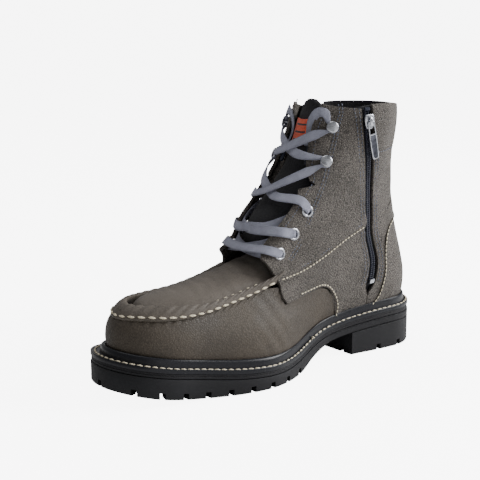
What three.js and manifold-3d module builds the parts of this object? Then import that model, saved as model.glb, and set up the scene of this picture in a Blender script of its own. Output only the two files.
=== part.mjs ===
// A right work boot, six inches tall: moc toe, side zipper, three eyelets and two
// hooks a side, on a stitched storm welt with a lugged sole and a separate heel.
// Units are millimetres. +Z is up, the toe points to -Y, +X is the inner side of the
// foot. The heel and the ball stand on z = 0.
import * as THREE from 'three';
import { mergeVertices } from 'three/addons/utils/BufferGeometryUtils.js';
import Module from 'manifold-3d';

const wasm = await Module();
wasm.setup();

// ---------------------------------------------------------------- driving sizes
const SOLE_LENGTH = 304;        // heel to toe along the sole's edge
const SOLE_WIDTH = 114;         // across the ball of the foot
const SHAFT_HEIGHT = 170;       // collar above the welt
const HEEL_BREAST_Y = 70;       // the heel's flat front, on the pattern
const WELT_THICK = 3.4;
const MIDSOLE_THICK = 3.5;
const OUTSOLE_THICK = 5.5;      // the sole's wall at the waist and over the heel
const LUG_DEPTH = 4.5;
const LUG_GAP = 5;              // width of each notch round the tread
const LUG_COUNT_SIDE = 11;      // notches along one side of the front sole
const LUG_COUNT_HEEL = 9;       // notches round the heel
const LEATHER = 2.2;
const STIFFENER = 1.0;
const LINING = 1.6;
const TONGUE_PAD = 5;
const ZIP_OPENING = 9;          // between the leather edges
const COIL_WIDTH = 2.3;         // each half of the zipper's coil
const SLIDER_LENGTH = 12;
const SLIDER_WIDTH = 9;
const SLIDER_TRAVEL = 60;
const PULL_LENGTH = 31;
const PULL_WIDTH = 7;
const PULL_LEAN = 8;            // degrees that the pull hangs off the track's line
const RIB_HEIGHT = 8;           // the raised rib between the vamp and the apron
const EYELET_HOLE_R = 2.9;
const EYELET_FLANGE_R = 5;
const HOOK_R = 4.6;
const HOOK_POST_R = 1.8;
const LACE_R = 1.4;
const GAP = 0.3;                // between pieces that touch
const SEAM = 0.25;              // each panel's edge, back from the seam's line

// ---------------------------------------------------------------- the last's shape
// The pattern is drawn on a last 304 long; the sizes above stretch it.
const PATTERN_LENGTH = 304;
const PATTERN_WIDTH = 114;
const PATTERN_HEIGHT = 170;
const STRETCH = {
  x: SOLE_WIDTH / PATTERN_WIDTH,
  y: SOLE_LENGTH / PATTERN_LENGTH,
  z: SHAFT_HEIGHT / PATTERN_HEIGHT,
};

// height of the welt's top along the boot
const WELT_LINE = [
  [-152, 35.1], [-100, 25], [-50, 18.3], [0, 18.3], [45, 28.1], [95, 33.9], [152, 34.8],
];
// underside of the front sole along the boot
const TREAD_LINE = [
  [-152, 12.5], [-120, 5.4], [-90, 1.4], [-60, 0], [-10, 0], [8, 1.6], [24, 7.5], [45, 14.8],
];
// share of the length, from the heel, at which the half widths below are measured
const STATIONS = [0, 0.15, 0.37, 0.6, 0.85, 1];
// one outline of the sole and nine of the upper, each: height above the welt, back and
// front ends, how far the toe swings inward, half widths of the inner and of the outer
// side, and the depth of the round at the back and at the front
const SOLE = { back: 152, front: -152, swing: 8, inner: [36.2, 33, 56.5, 42.8],
  outer: [38, 40, 55, 47], backRound: 38, frontRound: 52 };
const UPPER = [
  [0, 145, -140, 8, [30, 27, 50, 37], [31, 35, 47, 36], 35, 50],
  [14, 147, -141, 8, [33, 31, 49, 38], [34, 37, 49, 38], 36, 50],
  [27, 146.5, -137, 8, [34, 33, 46, 36], [35, 38, 46, 37], 36, 48],
  [40, 144, -121, 7, [33, 34, 40, 33], [34, 38, 42, 34], 36, 44],
  [55, 140, -84, 5, [32, 35, 36, 29], [33, 38, 38, 31], 36, 34],
  [75, 135, -28, 3, [31, 36, 34, 29], [32, 37, 35, 31], 36, 20],
  [100, 131.5, -11, 1, [31, 36, 34, 28], [32, 37, 34, 29], 37, 28],
  [130, 131, 21, 0, [33, 38, 36, 29], [33, 38, 36, 29], 38, 34],
  [175, 134.5, 43, 0, [35, 39, 37, 29], [35, 39, 37, 29], 38, 36],
];

// ---------------------------------------------------------------- curves
const clamp = THREE.MathUtils.clamp;
const lerp = THREE.MathUtils.lerp;
const smoothstep = THREE.MathUtils.smoothstep;
const TURN = 2 * Math.PI;

// smooth curve through (xs, ys), flat beyond neither end
function smooth(xs, ys, x) {
  const n = xs.length;
  const slope = (i) => (ys[i + 1] - ys[i]) / (xs[i + 1] - xs[i]);
  const tangent = (i) => {
    if (i === 0) return slope(0);
    if (i === n - 1) return slope(n - 2);
    const before = xs[i] - xs[i - 1];
    const after = xs[i + 1] - xs[i];
    return (slope(i - 1) * after + slope(i) * before) / (before + after);
  };
  let i = 0;
  while (i < n - 2 && x > xs[i + 1]) i += 1;
  const span = xs[i + 1] - xs[i];
  const s = clamp((x - xs[i]) / span, 0, 1);
  return ys[i] * (1 + 2 * s) * (1 - s) ** 2 + tangent(i) * span * s * (1 - s) ** 2
    + ys[i + 1] * s * s * (3 - 2 * s) + tangent(i + 1) * span * s * s * (s - 1);
}

function along(line, y) {
  const xs = line.map((p) => p[0]);
  const ys = line.map((p) => p[1]);
  return smooth(xs, ys, clamp(y, xs[0], xs[xs.length - 1]));
}

const weltTop = (y) => along(WELT_LINE, y);
const midsoleTop = (y) => weltTop(y) - WELT_THICK - GAP;
const outsoleTop = (y) => midsoleTop(y) - MIDSOLE_THICK - GAP;
const treadAt = (y) => (y > 45 ? outsoleTop(y) - OUTSOLE_THICK
  : clamp(along(TREAD_LINE, y), 0, outsoleTop(y) - OUTSOLE_THICK));

// the upper's outline at a height, blended between the outlines above
function outlineAt(h) {
  const heights = UPPER.map((row) => row[0]);
  const level = clamp(h, 0, heights[heights.length - 1]);
  const value = (pick) => smooth(heights, UPPER.map(pick), level);
  return {
    back: value((row) => row[1]),
    front: value((row) => row[2]),
    swing: value((row) => row[3]),
    inner: [0, 1, 2, 3].map((k) => value((row) => row[4][k])),
    outer: [0, 1, 2, 3].map((k) => value((row) => row[5][k])),
    backRound: value((row) => row[6]),
    frontRound: value((row) => row[7]),
  };
}

// a point of an outline: angle 0 is the back, pi the front, and the inner side lies between
function onOutline(line, angle) {
  const turn = ((angle % TURN) + TURN) % TURN;
  const side = turn <= Math.PI ? 1 : -1;
  const share = (1 - Math.cos(turn)) / 2;
  const y = lerp(line.back, line.front, share);
  const w = side > 0 ? line.inner : line.outer;
  const round = (q) => Math.sqrt(Math.max(0, 1 - (1 - clamp(q, 0, 1)) ** 2));
  const flat = [w[0], w[0], w[1], w[2], w[3], w[3]];
  const xs = STATIONS;
  let half = 0;
  {
    // the widths run level into the two rounds
    let i = 0;
    while (i < 4 && share > xs[i + 1]) i += 1;
    const slope = (k) => (flat[k + 1] - flat[k]) / (xs[k + 1] - xs[k]);
    const tangent = (k) => {
      if (k === 0 || k === 5) return 0;
      const before = xs[k] - xs[k - 1];
      const after = xs[k + 1] - xs[k];
      return (slope(k - 1) * after + slope(k) * before) / (before + after);
    };
    const span = xs[i + 1] - xs[i];
    const s = (share - xs[i]) / span;
    half = flat[i] * (1 + 2 * s) * (1 - s) ** 2 + tangent(i) * span * s * (1 - s) ** 2
      + flat[i + 1] * s * s * (3 - 2 * s) + tangent(i + 1) * span * s * s * (s - 1);
  }
  half *= round((line.back - y) / line.backRound) * round((y - line.front) / line.frontRound);
  return [line.swing * share ** 2 + side * half, y];
}

// middle of the sole's box, which the whole boot is moved by
const soleXs = Array.from({ length: 241 }, (_, i) => onOutline(SOLE, (TURN * i) / 240)[0]);
const MIDDLE_X = (Math.max(...soleXs) + Math.min(...soleXs)) / 2;

const toSize = (x, y, z) => new THREE.Vector3((x - MIDDLE_X) * STRETCH.x, y * STRETCH.y, z);

// a point of the leather's outer face
function skin(angle, h) {
  const [x, y] = onOutline(outlineAt(h), angle);
  return toSize(x, y, weltTop(y) + h * STRETCH.z);
}

// outward normal of that face
function skinNormal(angle, h) {
  const dh = h < 1 ? 0 : 0.5;
  const across = skin(angle + 0.01, h).sub(skin(angle - 0.01, h));
  const up = skin(angle, h + 0.5).sub(skin(angle, h - dh));
  return up.cross(across).normalize();
}

const onSkin = (angle, h, out = 0) => skin(angle, h).addScaledVector(skinNormal(angle, h), out);

// angle and height of the pattern's side-view point (y, z), inner side 1, outer side -1
function place(y, z, side, overToe = false) {
  const h = z - weltTop(y);
  const line = outlineAt(h);
  const share = clamp((line.back - y) / (line.back - line.front), 0, 1);
  const angle = Math.acos(1 - 2 * share);
  if (side > 0) return [angle, h];
  return [overToe ? TURN - angle : -angle, h];
}

const apart = (p, q) => Math.hypot(p[0] - q[0], p[1] - q[1]);
const mix = (p, q, k) => [lerp(p[0], q[0], k), lerp(p[1], q[1], k)];

// smooth line through side-view points, as angle and height for s from 0 to 1
function seam(points, side, overToe = false) {
  const run = [0];
  for (let i = 1; i < points.length; i += 1) {
    run.push(run[i - 1] + apart(points[i], points[i - 1]));
  }
  const ys = points.map((p) => p[0]);
  const zs = points.map((p) => p[1]);
  const end = run[run.length - 1];
  return (s) => place(smooth(run, ys, s * end), smooth(run, zs, s * end), side, overToe);
}

// the same with straight stretches, for outlines with corners
function cornered(points, side, overToe = false) {
  const run = [0];
  for (let i = 1; i < points.length; i += 1) {
    run.push(run[i - 1] + apart(points[i], points[i - 1]));
  }
  const end = run[run.length - 1];
  return (s) => {
    let i = 0;
    while (i < points.length - 2 && s * end > run[i + 1]) i += 1;
    const k = (s * end - run[i]) / (run[i + 1] - run[i]);
    const [y, z] = mix(points[i], points[i + 1], k);
    return place(y, z, side, overToe);
  };
}

// patch stretched between four boundary lines
const coons = (left, right, low, high) => (s, r) => [0, 1].map((k) => (
  lerp(left(r)[k], right(r)[k], s) + lerp(low(s)[k], high(s)[k], r)
  - lerp(lerp(low(0)[k], low(1)[k], s), lerp(high(0)[k], high(1)[k], s), r)));
const between = (low, high) => (s, r) => mix(low(s), high(s), r);
const across = (left, right) => (s, r) => mix(left(r), right(r), s);

// ---------------------------------------------------------------- solids
const boot = new THREE.Group();

// closed mesh from a list of triangles given by their corners, turned to face outward
function closed(triangles) {
  const keys = new Map();
  const points = [];
  const index = [];
  const id = (p) => {
    const key = `${Math.round(p.x * 1e4)},${Math.round(p.y * 1e4)},${Math.round(p.z * 1e4)}`;
    if (!keys.has(key)) {
      keys.set(key, points.length);
      points.push(p);
    }
    return keys.get(key);
  };
  let volume = 0;
  for (const [a, b, c] of triangles) {
    const t = [id(a), id(b), id(c)];
    if (t[0] === t[1] || t[1] === t[2] || t[0] === t[2]) continue;
    index.push(...t);
    volume += a.dot(b.clone().cross(c));
  }
  if (volume < 0) index.reverse();
  const shape = new THREE.BufferGeometry();
  const places = points.flatMap((p) => [p.x, p.y, p.z]);
  shape.setAttribute('position', new THREE.Float32BufferAttribute(places, 3));
  shape.setIndex(index);
  return shape;
}

// two grids of points joined round their four edges; a ring joins its ends instead
function shell(outer, inner, ring = false) {
  const triangles = [];
  const quad = (a, b, c, d) => triangles.push([a, b, c], [a, c, d]);
  const columns = outer.length - 1;
  const rows = outer[0].length - 1;
  for (let i = 0; i < columns; i += 1) {
    for (let j = 0; j < rows; j += 1) {
      quad(outer[i][j], outer[i + 1][j], outer[i + 1][j + 1], outer[i][j + 1]);
      quad(inner[i][j], inner[i][j + 1], inner[i + 1][j + 1], inner[i + 1][j]);
    }
    quad(inner[i][0], inner[i + 1][0], outer[i + 1][0], outer[i][0]);
    quad(outer[i][rows], outer[i + 1][rows], inner[i + 1][rows], inner[i][rows]);
  }
  for (let j = 0; j < rows && !ring; j += 1) {
    quad(inner[0][j], outer[0][j], outer[0][j + 1], inner[0][j + 1]);
    quad(outer[columns][j], inner[columns][j], inner[columns][j + 1], outer[columns][j + 1]);
  }
  return closed(triangles);
}

// grid of (angle, height) for a panel, its edges drawn back from the seams
function panelGrid(at, columns, rows, edge = SEAM, ring = false) {
  const grid = [];
  for (let i = 0; i <= columns; i += 1) {
    grid.push([]);
    for (let j = 0; j <= rows; j += 1) grid[i].push(at(i / columns, j / rows));
  }
  const pull = (from, to) => {
    const gap = skin(...from).distanceTo(skin(...to));
    return mix(from, to, clamp(edge / gap, 0, 0.5));
  };
  for (const column of grid) {
    const low = pull(column[0], column[1]);
    const high = pull(column[rows], column[rows - 1]);
    column[0] = low;
    column[rows] = high;
  }
  if (ring) return grid;
  for (let j = 0; j <= rows; j += 1) {
    const first = pull(grid[0][j], grid[1][j]);
    const last = pull(grid[columns][j], grid[columns - 1][j]);
    grid[0][j] = first;
    grid[columns][j] = last;
  }
  return grid;
}

function panel(at, columns, rows, out, inn, ring = false) {
  const grid = panelGrid(at, columns, rows, SEAM, ring);
  const layer = (depth) => grid.map((column) => column.map(([a, h]) => onSkin(a, h, depth)));
  return shell(layer(out), layer(inn), ring);
}

function toManifold(shape) {
  let merged = shape.clone();
  merged.deleteAttribute('normal');
  merged.deleteAttribute('uv');
  merged = mergeVertices(merged, 1e-4);
  return new wasm.Manifold(new wasm.Mesh({
    numProp: 3,
    vertProperties: new Float32Array(merged.attributes.position.array),
    triVerts: new Uint32Array(merged.index.array),
  }));
}

function fromManifold(solid) {
  const mesh = solid.getMesh();
  const shape = new THREE.BufferGeometry();
  shape.setAttribute('position', new THREE.Float32BufferAttribute(mesh.vertProperties, 3));
  shape.setIndex([...mesh.triVerts]);
  return shape;
}

function cut(shape, cutters) {
  let solid = toManifold(shape);
  for (const cutter of cutters) solid = solid.subtract(toManifold(cutter));
  return fromManifold(solid);
}

const finish = (color, roughness, metalness = 0) =>
  new THREE.MeshStandardMaterial({ color, roughness, metalness });
const FINISH = {
  leather: finish(0x6e665b, 0.7),
  apron: finish(0x7b7266, 0.65),
  rubber: finish(0x33343a, 0.6),
  welt: finish(0x22242b, 0.5),
  thread: finish(0xd9cfb4, 0.8),
  textile: finish(0x191a1c, 0.9),
  lace: finish(0x8f9097, 0.85),
  metal: finish(0xc4c5c8, 0.35, 1),
  coil: finish(0x2a2c30, 0.5),
  board: finish(0x9a7d58, 0.9),
  cork: finish(0x8c6b45, 0.95),
  label: finish(0xc4512a, 0.8),
};

function add(name, shape, material) {
  const mesh = new THREE.Mesh(shape, FINISH[material]);
  mesh.name = name;
  boot.add(mesh);
  return mesh;
}

// ---------------------------------------------------------------- sole
// a point on the sole's edge, drawn inward; share runs from 0 at the heel to 1 at the toe
function soleEdge(angle, inset = 0) {
  const [x, y] = onOutline(SOLE, angle);
  const p = onOutline(SOLE, angle - 0.01);
  const q = onOutline(SOLE, angle + 0.01);
  const run = Math.hypot(q[0] - p[0], q[1] - p[1]);
  return [x - ((p[1] - q[1]) / run) * inset, y - ((q[0] - p[0]) / run) * inset];
}

// a sole layer: its edge line, and its top and underside along the boot
function slab(edge, top, under, from, to, rows, columns) {
  const upper = [];
  const lower = [];
  for (let i = 0; i <= rows; i += 1) {
    const angle = lerp(from, to, i / rows);
    const inner = edge(angle);
    const outer = edge(TURN - angle);
    const line = Array.from({ length: columns + 1 }, (_, j) => mix(outer, inner, j / columns));
    upper.push(line.map(([x, y]) => toSize(x, y, top(y))));
    lower.push(line.map(([x, y]) => toSize(x, y, under(y))));
  }
  return shell(upper, lower);
}

const angleAt = (line, y) => Math.acos(1 - 2 * clamp((line.back - y) / (line.back - line.front), 0, 1));
const BREAST = angleAt(SOLE, HEEL_BREAST_Y);

// a notch in the tread: a block across the edge, reaching in from outside
function notch(angle, floor, depthIn) {
  const [x, y] = soleEdge(angle);
  const [xIn, yIn] = soleEdge(angle, 1);
  const at = toSize(x, y, 0);
  const inward = toSize(xIn, yIn, 0).sub(at).setZ(0).normalize();
  const side = inward.clone().cross(new THREE.Vector3(0, 0, 1));
  const block = new THREE.BoxGeometry(LUG_GAP, depthIn + 2, LUG_DEPTH + 4);
  const basis = new THREE.Matrix4().makeBasis(side, inward, new THREE.Vector3(0, 0, 1));
  basis.setPosition(at.addScaledVector(inward, depthIn / 2 - 1).setZ(floor(y) + (LUG_DEPTH - 4) / 2));
  return block.applyMatrix4(basis);
}

function sole() {
  const plain = slab((a) => soleEdge(a), outsoleTop, treadAt, 0, Math.PI, 34, 4);
  const notches = [];
  for (let i = 0; i < LUG_COUNT_SIDE; i += 1) {
    const y = lerp(2, -140, i / (LUG_COUNT_SIDE - 1));
    const angle = angleAt(SOLE, y);
    notches.push(notch(angle, treadAt, 9), notch(TURN - angle, treadAt, 9));
  }
  notches.push(notch(Math.PI, treadAt, 9));
  // cross channels between the side lugs
  for (let i = 0; i < 5; i += 1) {
    const y = lerp(-18, -116, i / 4);
    const channel = new THREE.BoxGeometry(46, LUG_GAP, LUG_DEPTH + 4);
    channel.translate(...toSize(4, y, treadAt(y) + (LUG_DEPTH - 4) / 2 - 0.6).toArray());
    notches.push(channel);
  }
  add('outsole', cut(plain, notches), 'rubber');

  const heelTop = (y) => treadAt(y) - GAP;
  const heel = slab((a) => soleEdge(a), heelTop, () => 0, 0, BREAST, 16, 4);
  const heelNotches = [];
  for (let i = 0; i < LUG_COUNT_HEEL; i += 1) {
    const angle = lerp(-BREAST + 0.22, BREAST - 0.22, i / (LUG_COUNT_HEEL - 1));
    heelNotches.push(notch(angle, () => 0, 8));
  }
  add('heel_block', cut(heel, heelNotches), 'rubber');

  const midEdge = (a) => soleEdge(a, 0.6);
  const midUnder = (y) => midsoleTop(y) - MIDSOLE_THICK;
  add('midsole', slab(midEdge, midsoleTop, midUnder, 0, Math.PI, 36, 2), 'welt');
}

// the welt: a flat strip round the edge and a raised bead that leans on the upper
const BEAD_WIDE = 4.6;
const BEAD_HIGH = 6.4;
const WELT_FLAT = 3.6;          // stitched flat outside the bead, at its narrowest
const WELT_TUCK = 5;            // how far the welt runs in under the upper
const THREAD = 0.9;
function weltPlan(angle) {
  const [ex, ey] = soleEdge(angle, 0.2);
  const wall = skin(angle, 6).setZ(0);
  const out = toSize(ex, ey, 0).sub(wall);
  const wide = out.length();
  out.normalize();
  const bead = clamp(wide - WELT_FLAT, 2, BEAD_WIDE);
  const point = (d, z) => {
    const p = wall.clone().addScaledVector(out, d);
    p.z = weltTop(p.y / STRETCH.y) + z;
    return p;
  };
  return { wide, bead, point };
}

function weltSection(angle) {
  const { wide, bead, point } = weltPlan(angle);
  return [
    point(wide, -WELT_THICK), point(wide, 0), point(bead + 0.8, 0), point(bead + 0.2, 1.2),
    point(bead, 4), point(bead * 0.55 + 0.3, BEAD_HIGH), point(0.9, 4.6), point(0.9, 0),
    point(-WELT_TUCK, 0), point(-WELT_TUCK, -WELT_THICK),
  ];
}

// the row of welt stitching, one thread laid along the flat of the welt
function weltThread(angle) {
  const { wide, bead, point } = weltPlan(angle);
  const middle = (wide + bead + 0.8) / 2;
  const corner = (d, z) => point(middle + d * THREAD, z);
  return [corner(-0.5, GAP), corner(-0.3, GAP + 0.8), corner(0.3, GAP + 0.8), corner(0.5, GAP)];
}

// a section carried round a closed loop
function loop(section, count) {
  const rings = Array.from({ length: count }, (_, i) => section((TURN * i) / count));
  const triangles = [];
  rings.forEach((ring, i) => {
    const next = rings[(i + 1) % count];
    ring.forEach((p, j) => {
      const k = (j + 1) % ring.length;
      triangles.push([p, next[j], next[k]], [p, next[k], ring[k]]);
    });
  });
  return closed(triangles);
}

function weltParts() {
  add('welt', loop(weltSection, 60), 'welt');
  add('welt_stitching', loop(weltThread, 60), 'thread');
}

// ---------------------------------------------------------------- inside the sole
const BOARD_THICK = 2.5;
const FOOTBED_THICK = 5;
const BOARD_LIFT = 0.5;         // underside of the insole board, above the welt's top
const FOOTBED_TOP = BOARD_LIFT + BOARD_THICK + FOOTBED_THICK + 2 * GAP;
function insideSole() {
  const edgeAt = (h, depth) => (a) => {
    const p = onSkin(a, h, -depth);
    return [p.x / STRETCH.x + MIDDLE_X, p.y / STRETCH.y];
  };
  const layer = (name, material, depth, low, high, from, rows, to = Math.PI - from) => {
    const lift = (z) => (y) => weltTop(y) + z;
    add(name, slab(edgeAt(4, depth), lift(high), lift(low), from, to, rows, 2), material);
  };
  const wall = LEATHER + STIFFENER + LINING + 1;
  const boardTop = BOARD_LIFT + BOARD_THICK;
  layer('insole_board', 'board', LEATHER + 2.4, BOARD_LIFT, boardTop, 0.12, 26);
  layer('footbed', 'textile', wall + 1, FOOTBED_TOP - FOOTBED_THICK, FOOTBED_TOP, 0.12, 26);
  layer('cork_filler', 'cork', WELT_TUCK + 2.6, -WELT_THICK, -0.2, 1.75, 16, Math.PI - 0.2);
  const shank = new THREE.BoxGeometry(16, 74, 1.4);
  const pitch = Math.atan2(weltTop(95) - weltTop(35), 60 * STRETCH.y);
  const at = toSize(1, 66, weltTop(66) - WELT_THICK / 2 - 0.5);
  const bent = new THREE.Matrix4().makeRotationX(pitch).setPosition(at);
  add('shank', shank.applyMatrix4(bent), 'metal');
}

// ---------------------------------------------------------------- seams of the upper
const MOC_INNER = [[-15.8, 72], [-32.5, 67.6], [-56.8, 63.3], [-85, 60.1], [-109, 59.8], [-124, 60.6]];
const MOC_OUTER = [[-15.8, 70], [-32.5, 66.5], [-56.8, 61.5], [-85, 58.4], [-109, 58], [-124, 59.6]];
const MOC_TOE_HEIGHT = 28;
const mocPoints = [
  ...MOC_INNER.map(([y, z]) => place(y, z, 1)),
  [Math.PI, MOC_TOE_HEIGHT],
  ...MOC_OUTER.map(([y, z]) => place(y, z, -1, true)).reverse(),
];
const MOC_START = mocPoints[0][0];
const MOC_END = mocPoints[mocPoints.length - 1][0];
const mocHeight = (a) => smooth(mocPoints.map((p) => p[0]), mocPoints.map((p) => p[1]), a);

// lower edge of the quarter, where it laps the vamp
const LAP = [
  [56, 28], [55.2, 43], [49.5, 53.6], [42, 60.5], [34.4, 62.9], [21, 61.6], [8.3, 59.7], [-6.4, 57],
];
const LAP_FRONT = [[-6.4, 57], [-9.2, 64.5], [-10, 70]];
const CREAM = [[-10, 71.5], [10.9, 76.1], [36.8, 85.9], [57.8, 96], [78.5, 104]];
const STAY = [[-10, 71.5], [-14.1, 82.7], [-20.2, 91.4], [-4, 111.4], [9.4, 124.6], [17.2, 133.2],
  [20.5, 140.2], [34.6, 140.6], [29.6, 146.5], [31.3, 157.7], [35.5, 169.5], [41.5, 187.7], [49.5, 203.8]];
const ZIP_LINE = [[88.3, 54], [91.6, 65.8], [92.6, 75.7], [89.6, 88], [86.2, 98], [84.4, 110],
  [83.6, 127], [81.6, 151], [78, 201]];
const COUNTER_EDGE = [[88.5, 34.4], [98, 44], [102.7, 56.4], [105.2, 68], [105.8, 82.6], [107.8, 93.9],
  [111.3, 100.7], [121, 106.5]];
const COLLAR_Z = 166;
const TOP_Z = 205;

// the zipper's line moved forward (-) or back (+) over the surface
const zipSide = (shift) => ZIP_LINE.map(([y, z], i) => {
  const a = ZIP_LINE[Math.max(0, i - 1)];
  const b = ZIP_LINE[Math.min(ZIP_LINE.length - 1, i + 1)];
  const run = Math.hypot(b[0] - a[0], b[1] - a[1]);
  return [y + (shift * (b[1] - a[1])) / run, z - (shift * (b[0] - a[0])) / run];
});
const HALF_OPEN = ZIP_OPENING / 2;

// part of a line between two heights
function stretch(line, low, high, steps = 8) {
  const zs = line.map((p) => p[1]);
  const ys = line.map((p) => p[0]);
  return Array.from({ length: steps + 1 }, (_, i) => {
    const z = lerp(low, high, i / steps);
    return [smooth(zs, ys, z), z];
  });
}

const eyeletPlaces = [[-5, 93.8], [9.7, 107.2], [23.2, 123.8]];
const hookPlaces = [[43.8, 159.4], [52.5, 185.6]];
const CREAM_AT_ZIP = 104;

function holeCutters(side) {
  return eyeletPlaces.map(([y, z]) => {
    const [a, h] = place(y, z, side);
    const drill = new THREE.CylinderGeometry(EYELET_HOLE_R + 0.9, EYELET_HOLE_R + 0.9, 12, 14);
    const turn = new THREE.Quaternion().setFromUnitVectors(new THREE.Vector3(0, 1, 0), skinNormal(a, h));
    return drill.applyQuaternion(turn).translate(...onSkin(a, h, -LEATHER / 2).toArray());
  });
}

const RIB_CLEAR = 0.4;          // between the vamp's edge and the rib's lower edge
function vampParts() {
  const under = 3.1;             // the lap of the quarter over the vamp
  const rear = place(56 - under, weltTop(56) + 1, 1)[0];
  const rearOuter = TURN - rear;
  const inner = [...LAP.slice(1), ...LAP_FRONT.slice(1)].map(([y, z]) => place(y - under, z - under, 1));
  const outer = inner.map(([a, h]) => [TURN - a, h]).reverse();
  const moc = [];
  const steps = 22;
  for (let i = 0; i <= steps; i += 1) {
    const a = lerp(MOC_START + 0.03, MOC_END - 0.03, i / steps);
    moc.push([a, mocHeight(a)]);
  }
  const top = [...inner, ...moc, ...outer];
  const run = [0];
  for (let i = 1; i < top.length; i += 1) {
    run.push(run[i - 1] + skin(...top[i]).distanceTo(skin(...top[i - 1])));
  }
  const end = run[run.length - 1];
  const high = (s) => {
    let i = 0;
    while (i < top.length - 2 && s * end > run[i + 1]) i += 1;
    return mix(top[i], top[i + 1], (s * end - run[i]) / (run[i + 1] - run[i]));
  };
  const low = (s) => [lerp(rear, rearOuter, s), 0.4];
  add('vamp', panel(between(low, high), 48, 4, 0, -LEATHER), 'leather');

  const lean = 0.11;
  const rib = (s, r) => {
    const a = lerp(MOC_START + lean * r, MOC_END - lean * r, s);
    return [a, mocHeight(a) + lerp(RIB_CLEAR, RIB_HEIGHT, r)];
  };
  add('moc_rib', panel(rib, 30, 2, 2.4, -LEATHER), 'leather');
  const thread = (s, r) => {
    const a = lerp(MOC_START, MOC_END, s);
    return [a, mocHeight(a) + lerp(1.2, 2.9, r)];
  };
  add('moc_stitching', panel(thread, 30, 1, 3.4, 2.8), 'thread');
}

// the apron: across it, a crown between the two sides of the moc seam
const APRON_REAR_OUTER_Y = -42;
// the apron's edge above the rib, as it folds inward there
const APRON_CLEAR = (0.2 + 0.8 * LEATHER) / STRETCH.z;
const CROWN = [[0, 0, 12, 14.5], [0.25, -1, 5, 8.5], [0.5, -1, 0, 3.2], [0.75, 0, 0, 0.6], [1, 0, 0, 0]];
function apronGrid(lift, rows, columns, trim) {
  const innerFrom = place(-15.8, 72, 1)[0] + 0.14;
  const outerFrom = place(APRON_REAR_OUTER_Y, 65, -1, true)[0];
  const grid = [];
  for (let i = 0; i <= rows; i += 1) {
    const k = Math.sin(((i / rows) * Math.PI) / 2);
    const inner = lerp(innerFrom + trim, Math.PI, k);
    const outer = lerp(outerFrom - trim, Math.PI, k);
    const edge = (a) => onSkin(a, mocHeight(a) + RIB_HEIGHT + APRON_CLEAR + trim * 20, lift);
    const m = edge(inner);
    const l = edge(outer);
    const crown = [1, 2, 3].map((c) => smooth(CROWN.map((p) => p[0]), CROWN.map((p) => p[c]), i / rows));
    const top = new THREE.Vector3(crown[0] * STRETCH.x, crown[1] * STRETCH.y, crown[2] * STRETCH.z);
    grid.push(Array.from({ length: columns + 1 }, (_, j) => {
      const q = (2 * j) / columns - 1;
      return l.clone().lerp(m, j / columns).addScaledVector(top, 1 - q * q);
    }));
  }
  return grid;
}

function apronParts() {
  const lower = (grid, drop) => grid.map((row, i) => row.map((p, j) => {
    const before = grid[Math.max(0, i - 1)][j];
    const after = grid[Math.min(grid.length - 1, i + 1)][j];
    const left = row[Math.max(0, j - 1)];
    const right = row[Math.min(row.length - 1, j + 1)];
    const normal = right.clone().sub(left).cross(before.clone().sub(after));
    if (normal.length() < 1e-6) return p.clone().add(new THREE.Vector3(0, 0, -drop));
    normal.normalize();
    if (normal.z < 0) normal.negate();
    if (i === grid.length - 1) normal.set(0, 0, 1);
    return p.clone().addScaledVector(normal, -drop);
  }));
  const face = apronGrid(0, 13, 10, 0);
  add('apron', shell(face, lower(face, LEATHER)), 'apron');
  const backing = apronGrid(-LEATHER - 0.6, 11, 8, 0.02);
  const depth = LEATHER + 0.4;
  add('apron_lining', shell(lower(backing, depth), lower(backing, depth + LINING)), 'textile');
}

const COLLAR_OUT = 0.9;         // the padded collar stands this far proud
const COLLAR_DIP = 6;           // the collar's top falls this far from the zipper to the heel
const REAR_SEAM = [[88.9, 105], [103, 112], [118.5, 121]];
const straight = (from, to) => (s) => mix(from, to, s);
const mirrored = (edge) => (r) => {
  const [a, h] = edge(r);
  return [-a, h];
};
const zipFront = zipSide(-HALF_OPEN);
const zipRear = zipSide(HALF_OPEN);
const FLOOR = 0.3;

function quarterParts() {
  const cream = seam(CREAM, 1);
  const stay = cornered(STAY, 1);
  const zipEdge = seam([CREAM[4], ...stretch(zipFront, CREAM_AT_ZIP + 3, TOP_Z - 5)], 1);
  const upper = coons(stay, zipEdge, cream, straight(stay(1), zipEdge(1)));
  add('quarter_inner_upper', cut(panel(upper, 10, 16, 0, -LEATHER), holeCutters(1)), 'leather');

  const lap = [...LAP].reverse();
  const lapEdge = seam([...lap.slice(0, 7), [56.5, weltTop(56.5) + FLOOR]], 1);
  const zipFoot = [[83.5, weltTop(83.5) + FLOOR], [84, 46]];
  const zipLow = seam([...zipFoot, ...stretch(zipFront, 54, CREAM_AT_ZIP - 3), CREAM[4]], 1);
  const lapTop = (s) => (s < 0.62 ? lapEdge(s / 0.62)
    : straight(lapEdge(1), zipLow(0))((s - 0.62) / 0.38));
  const lowFront = straight(lapTop(0), cream(0));
  add('quarter_inner_lower', panel(coons(lowFront, zipLow, lapTop, cream), 20, 7, 0, -LEATHER), 'leather');
}

// ---------------------------------------------------------------- back of the boot
const counterInner = seam(COUNTER_EDGE, 1);
const COUNTER_ARCH = 8;
const counterTop = (s) => {
  const [a, h] = counterInner(1);
  return [lerp(a, -a, s), h + COUNTER_ARCH * Math.sin(Math.PI * s) ** 2];
};

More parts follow.
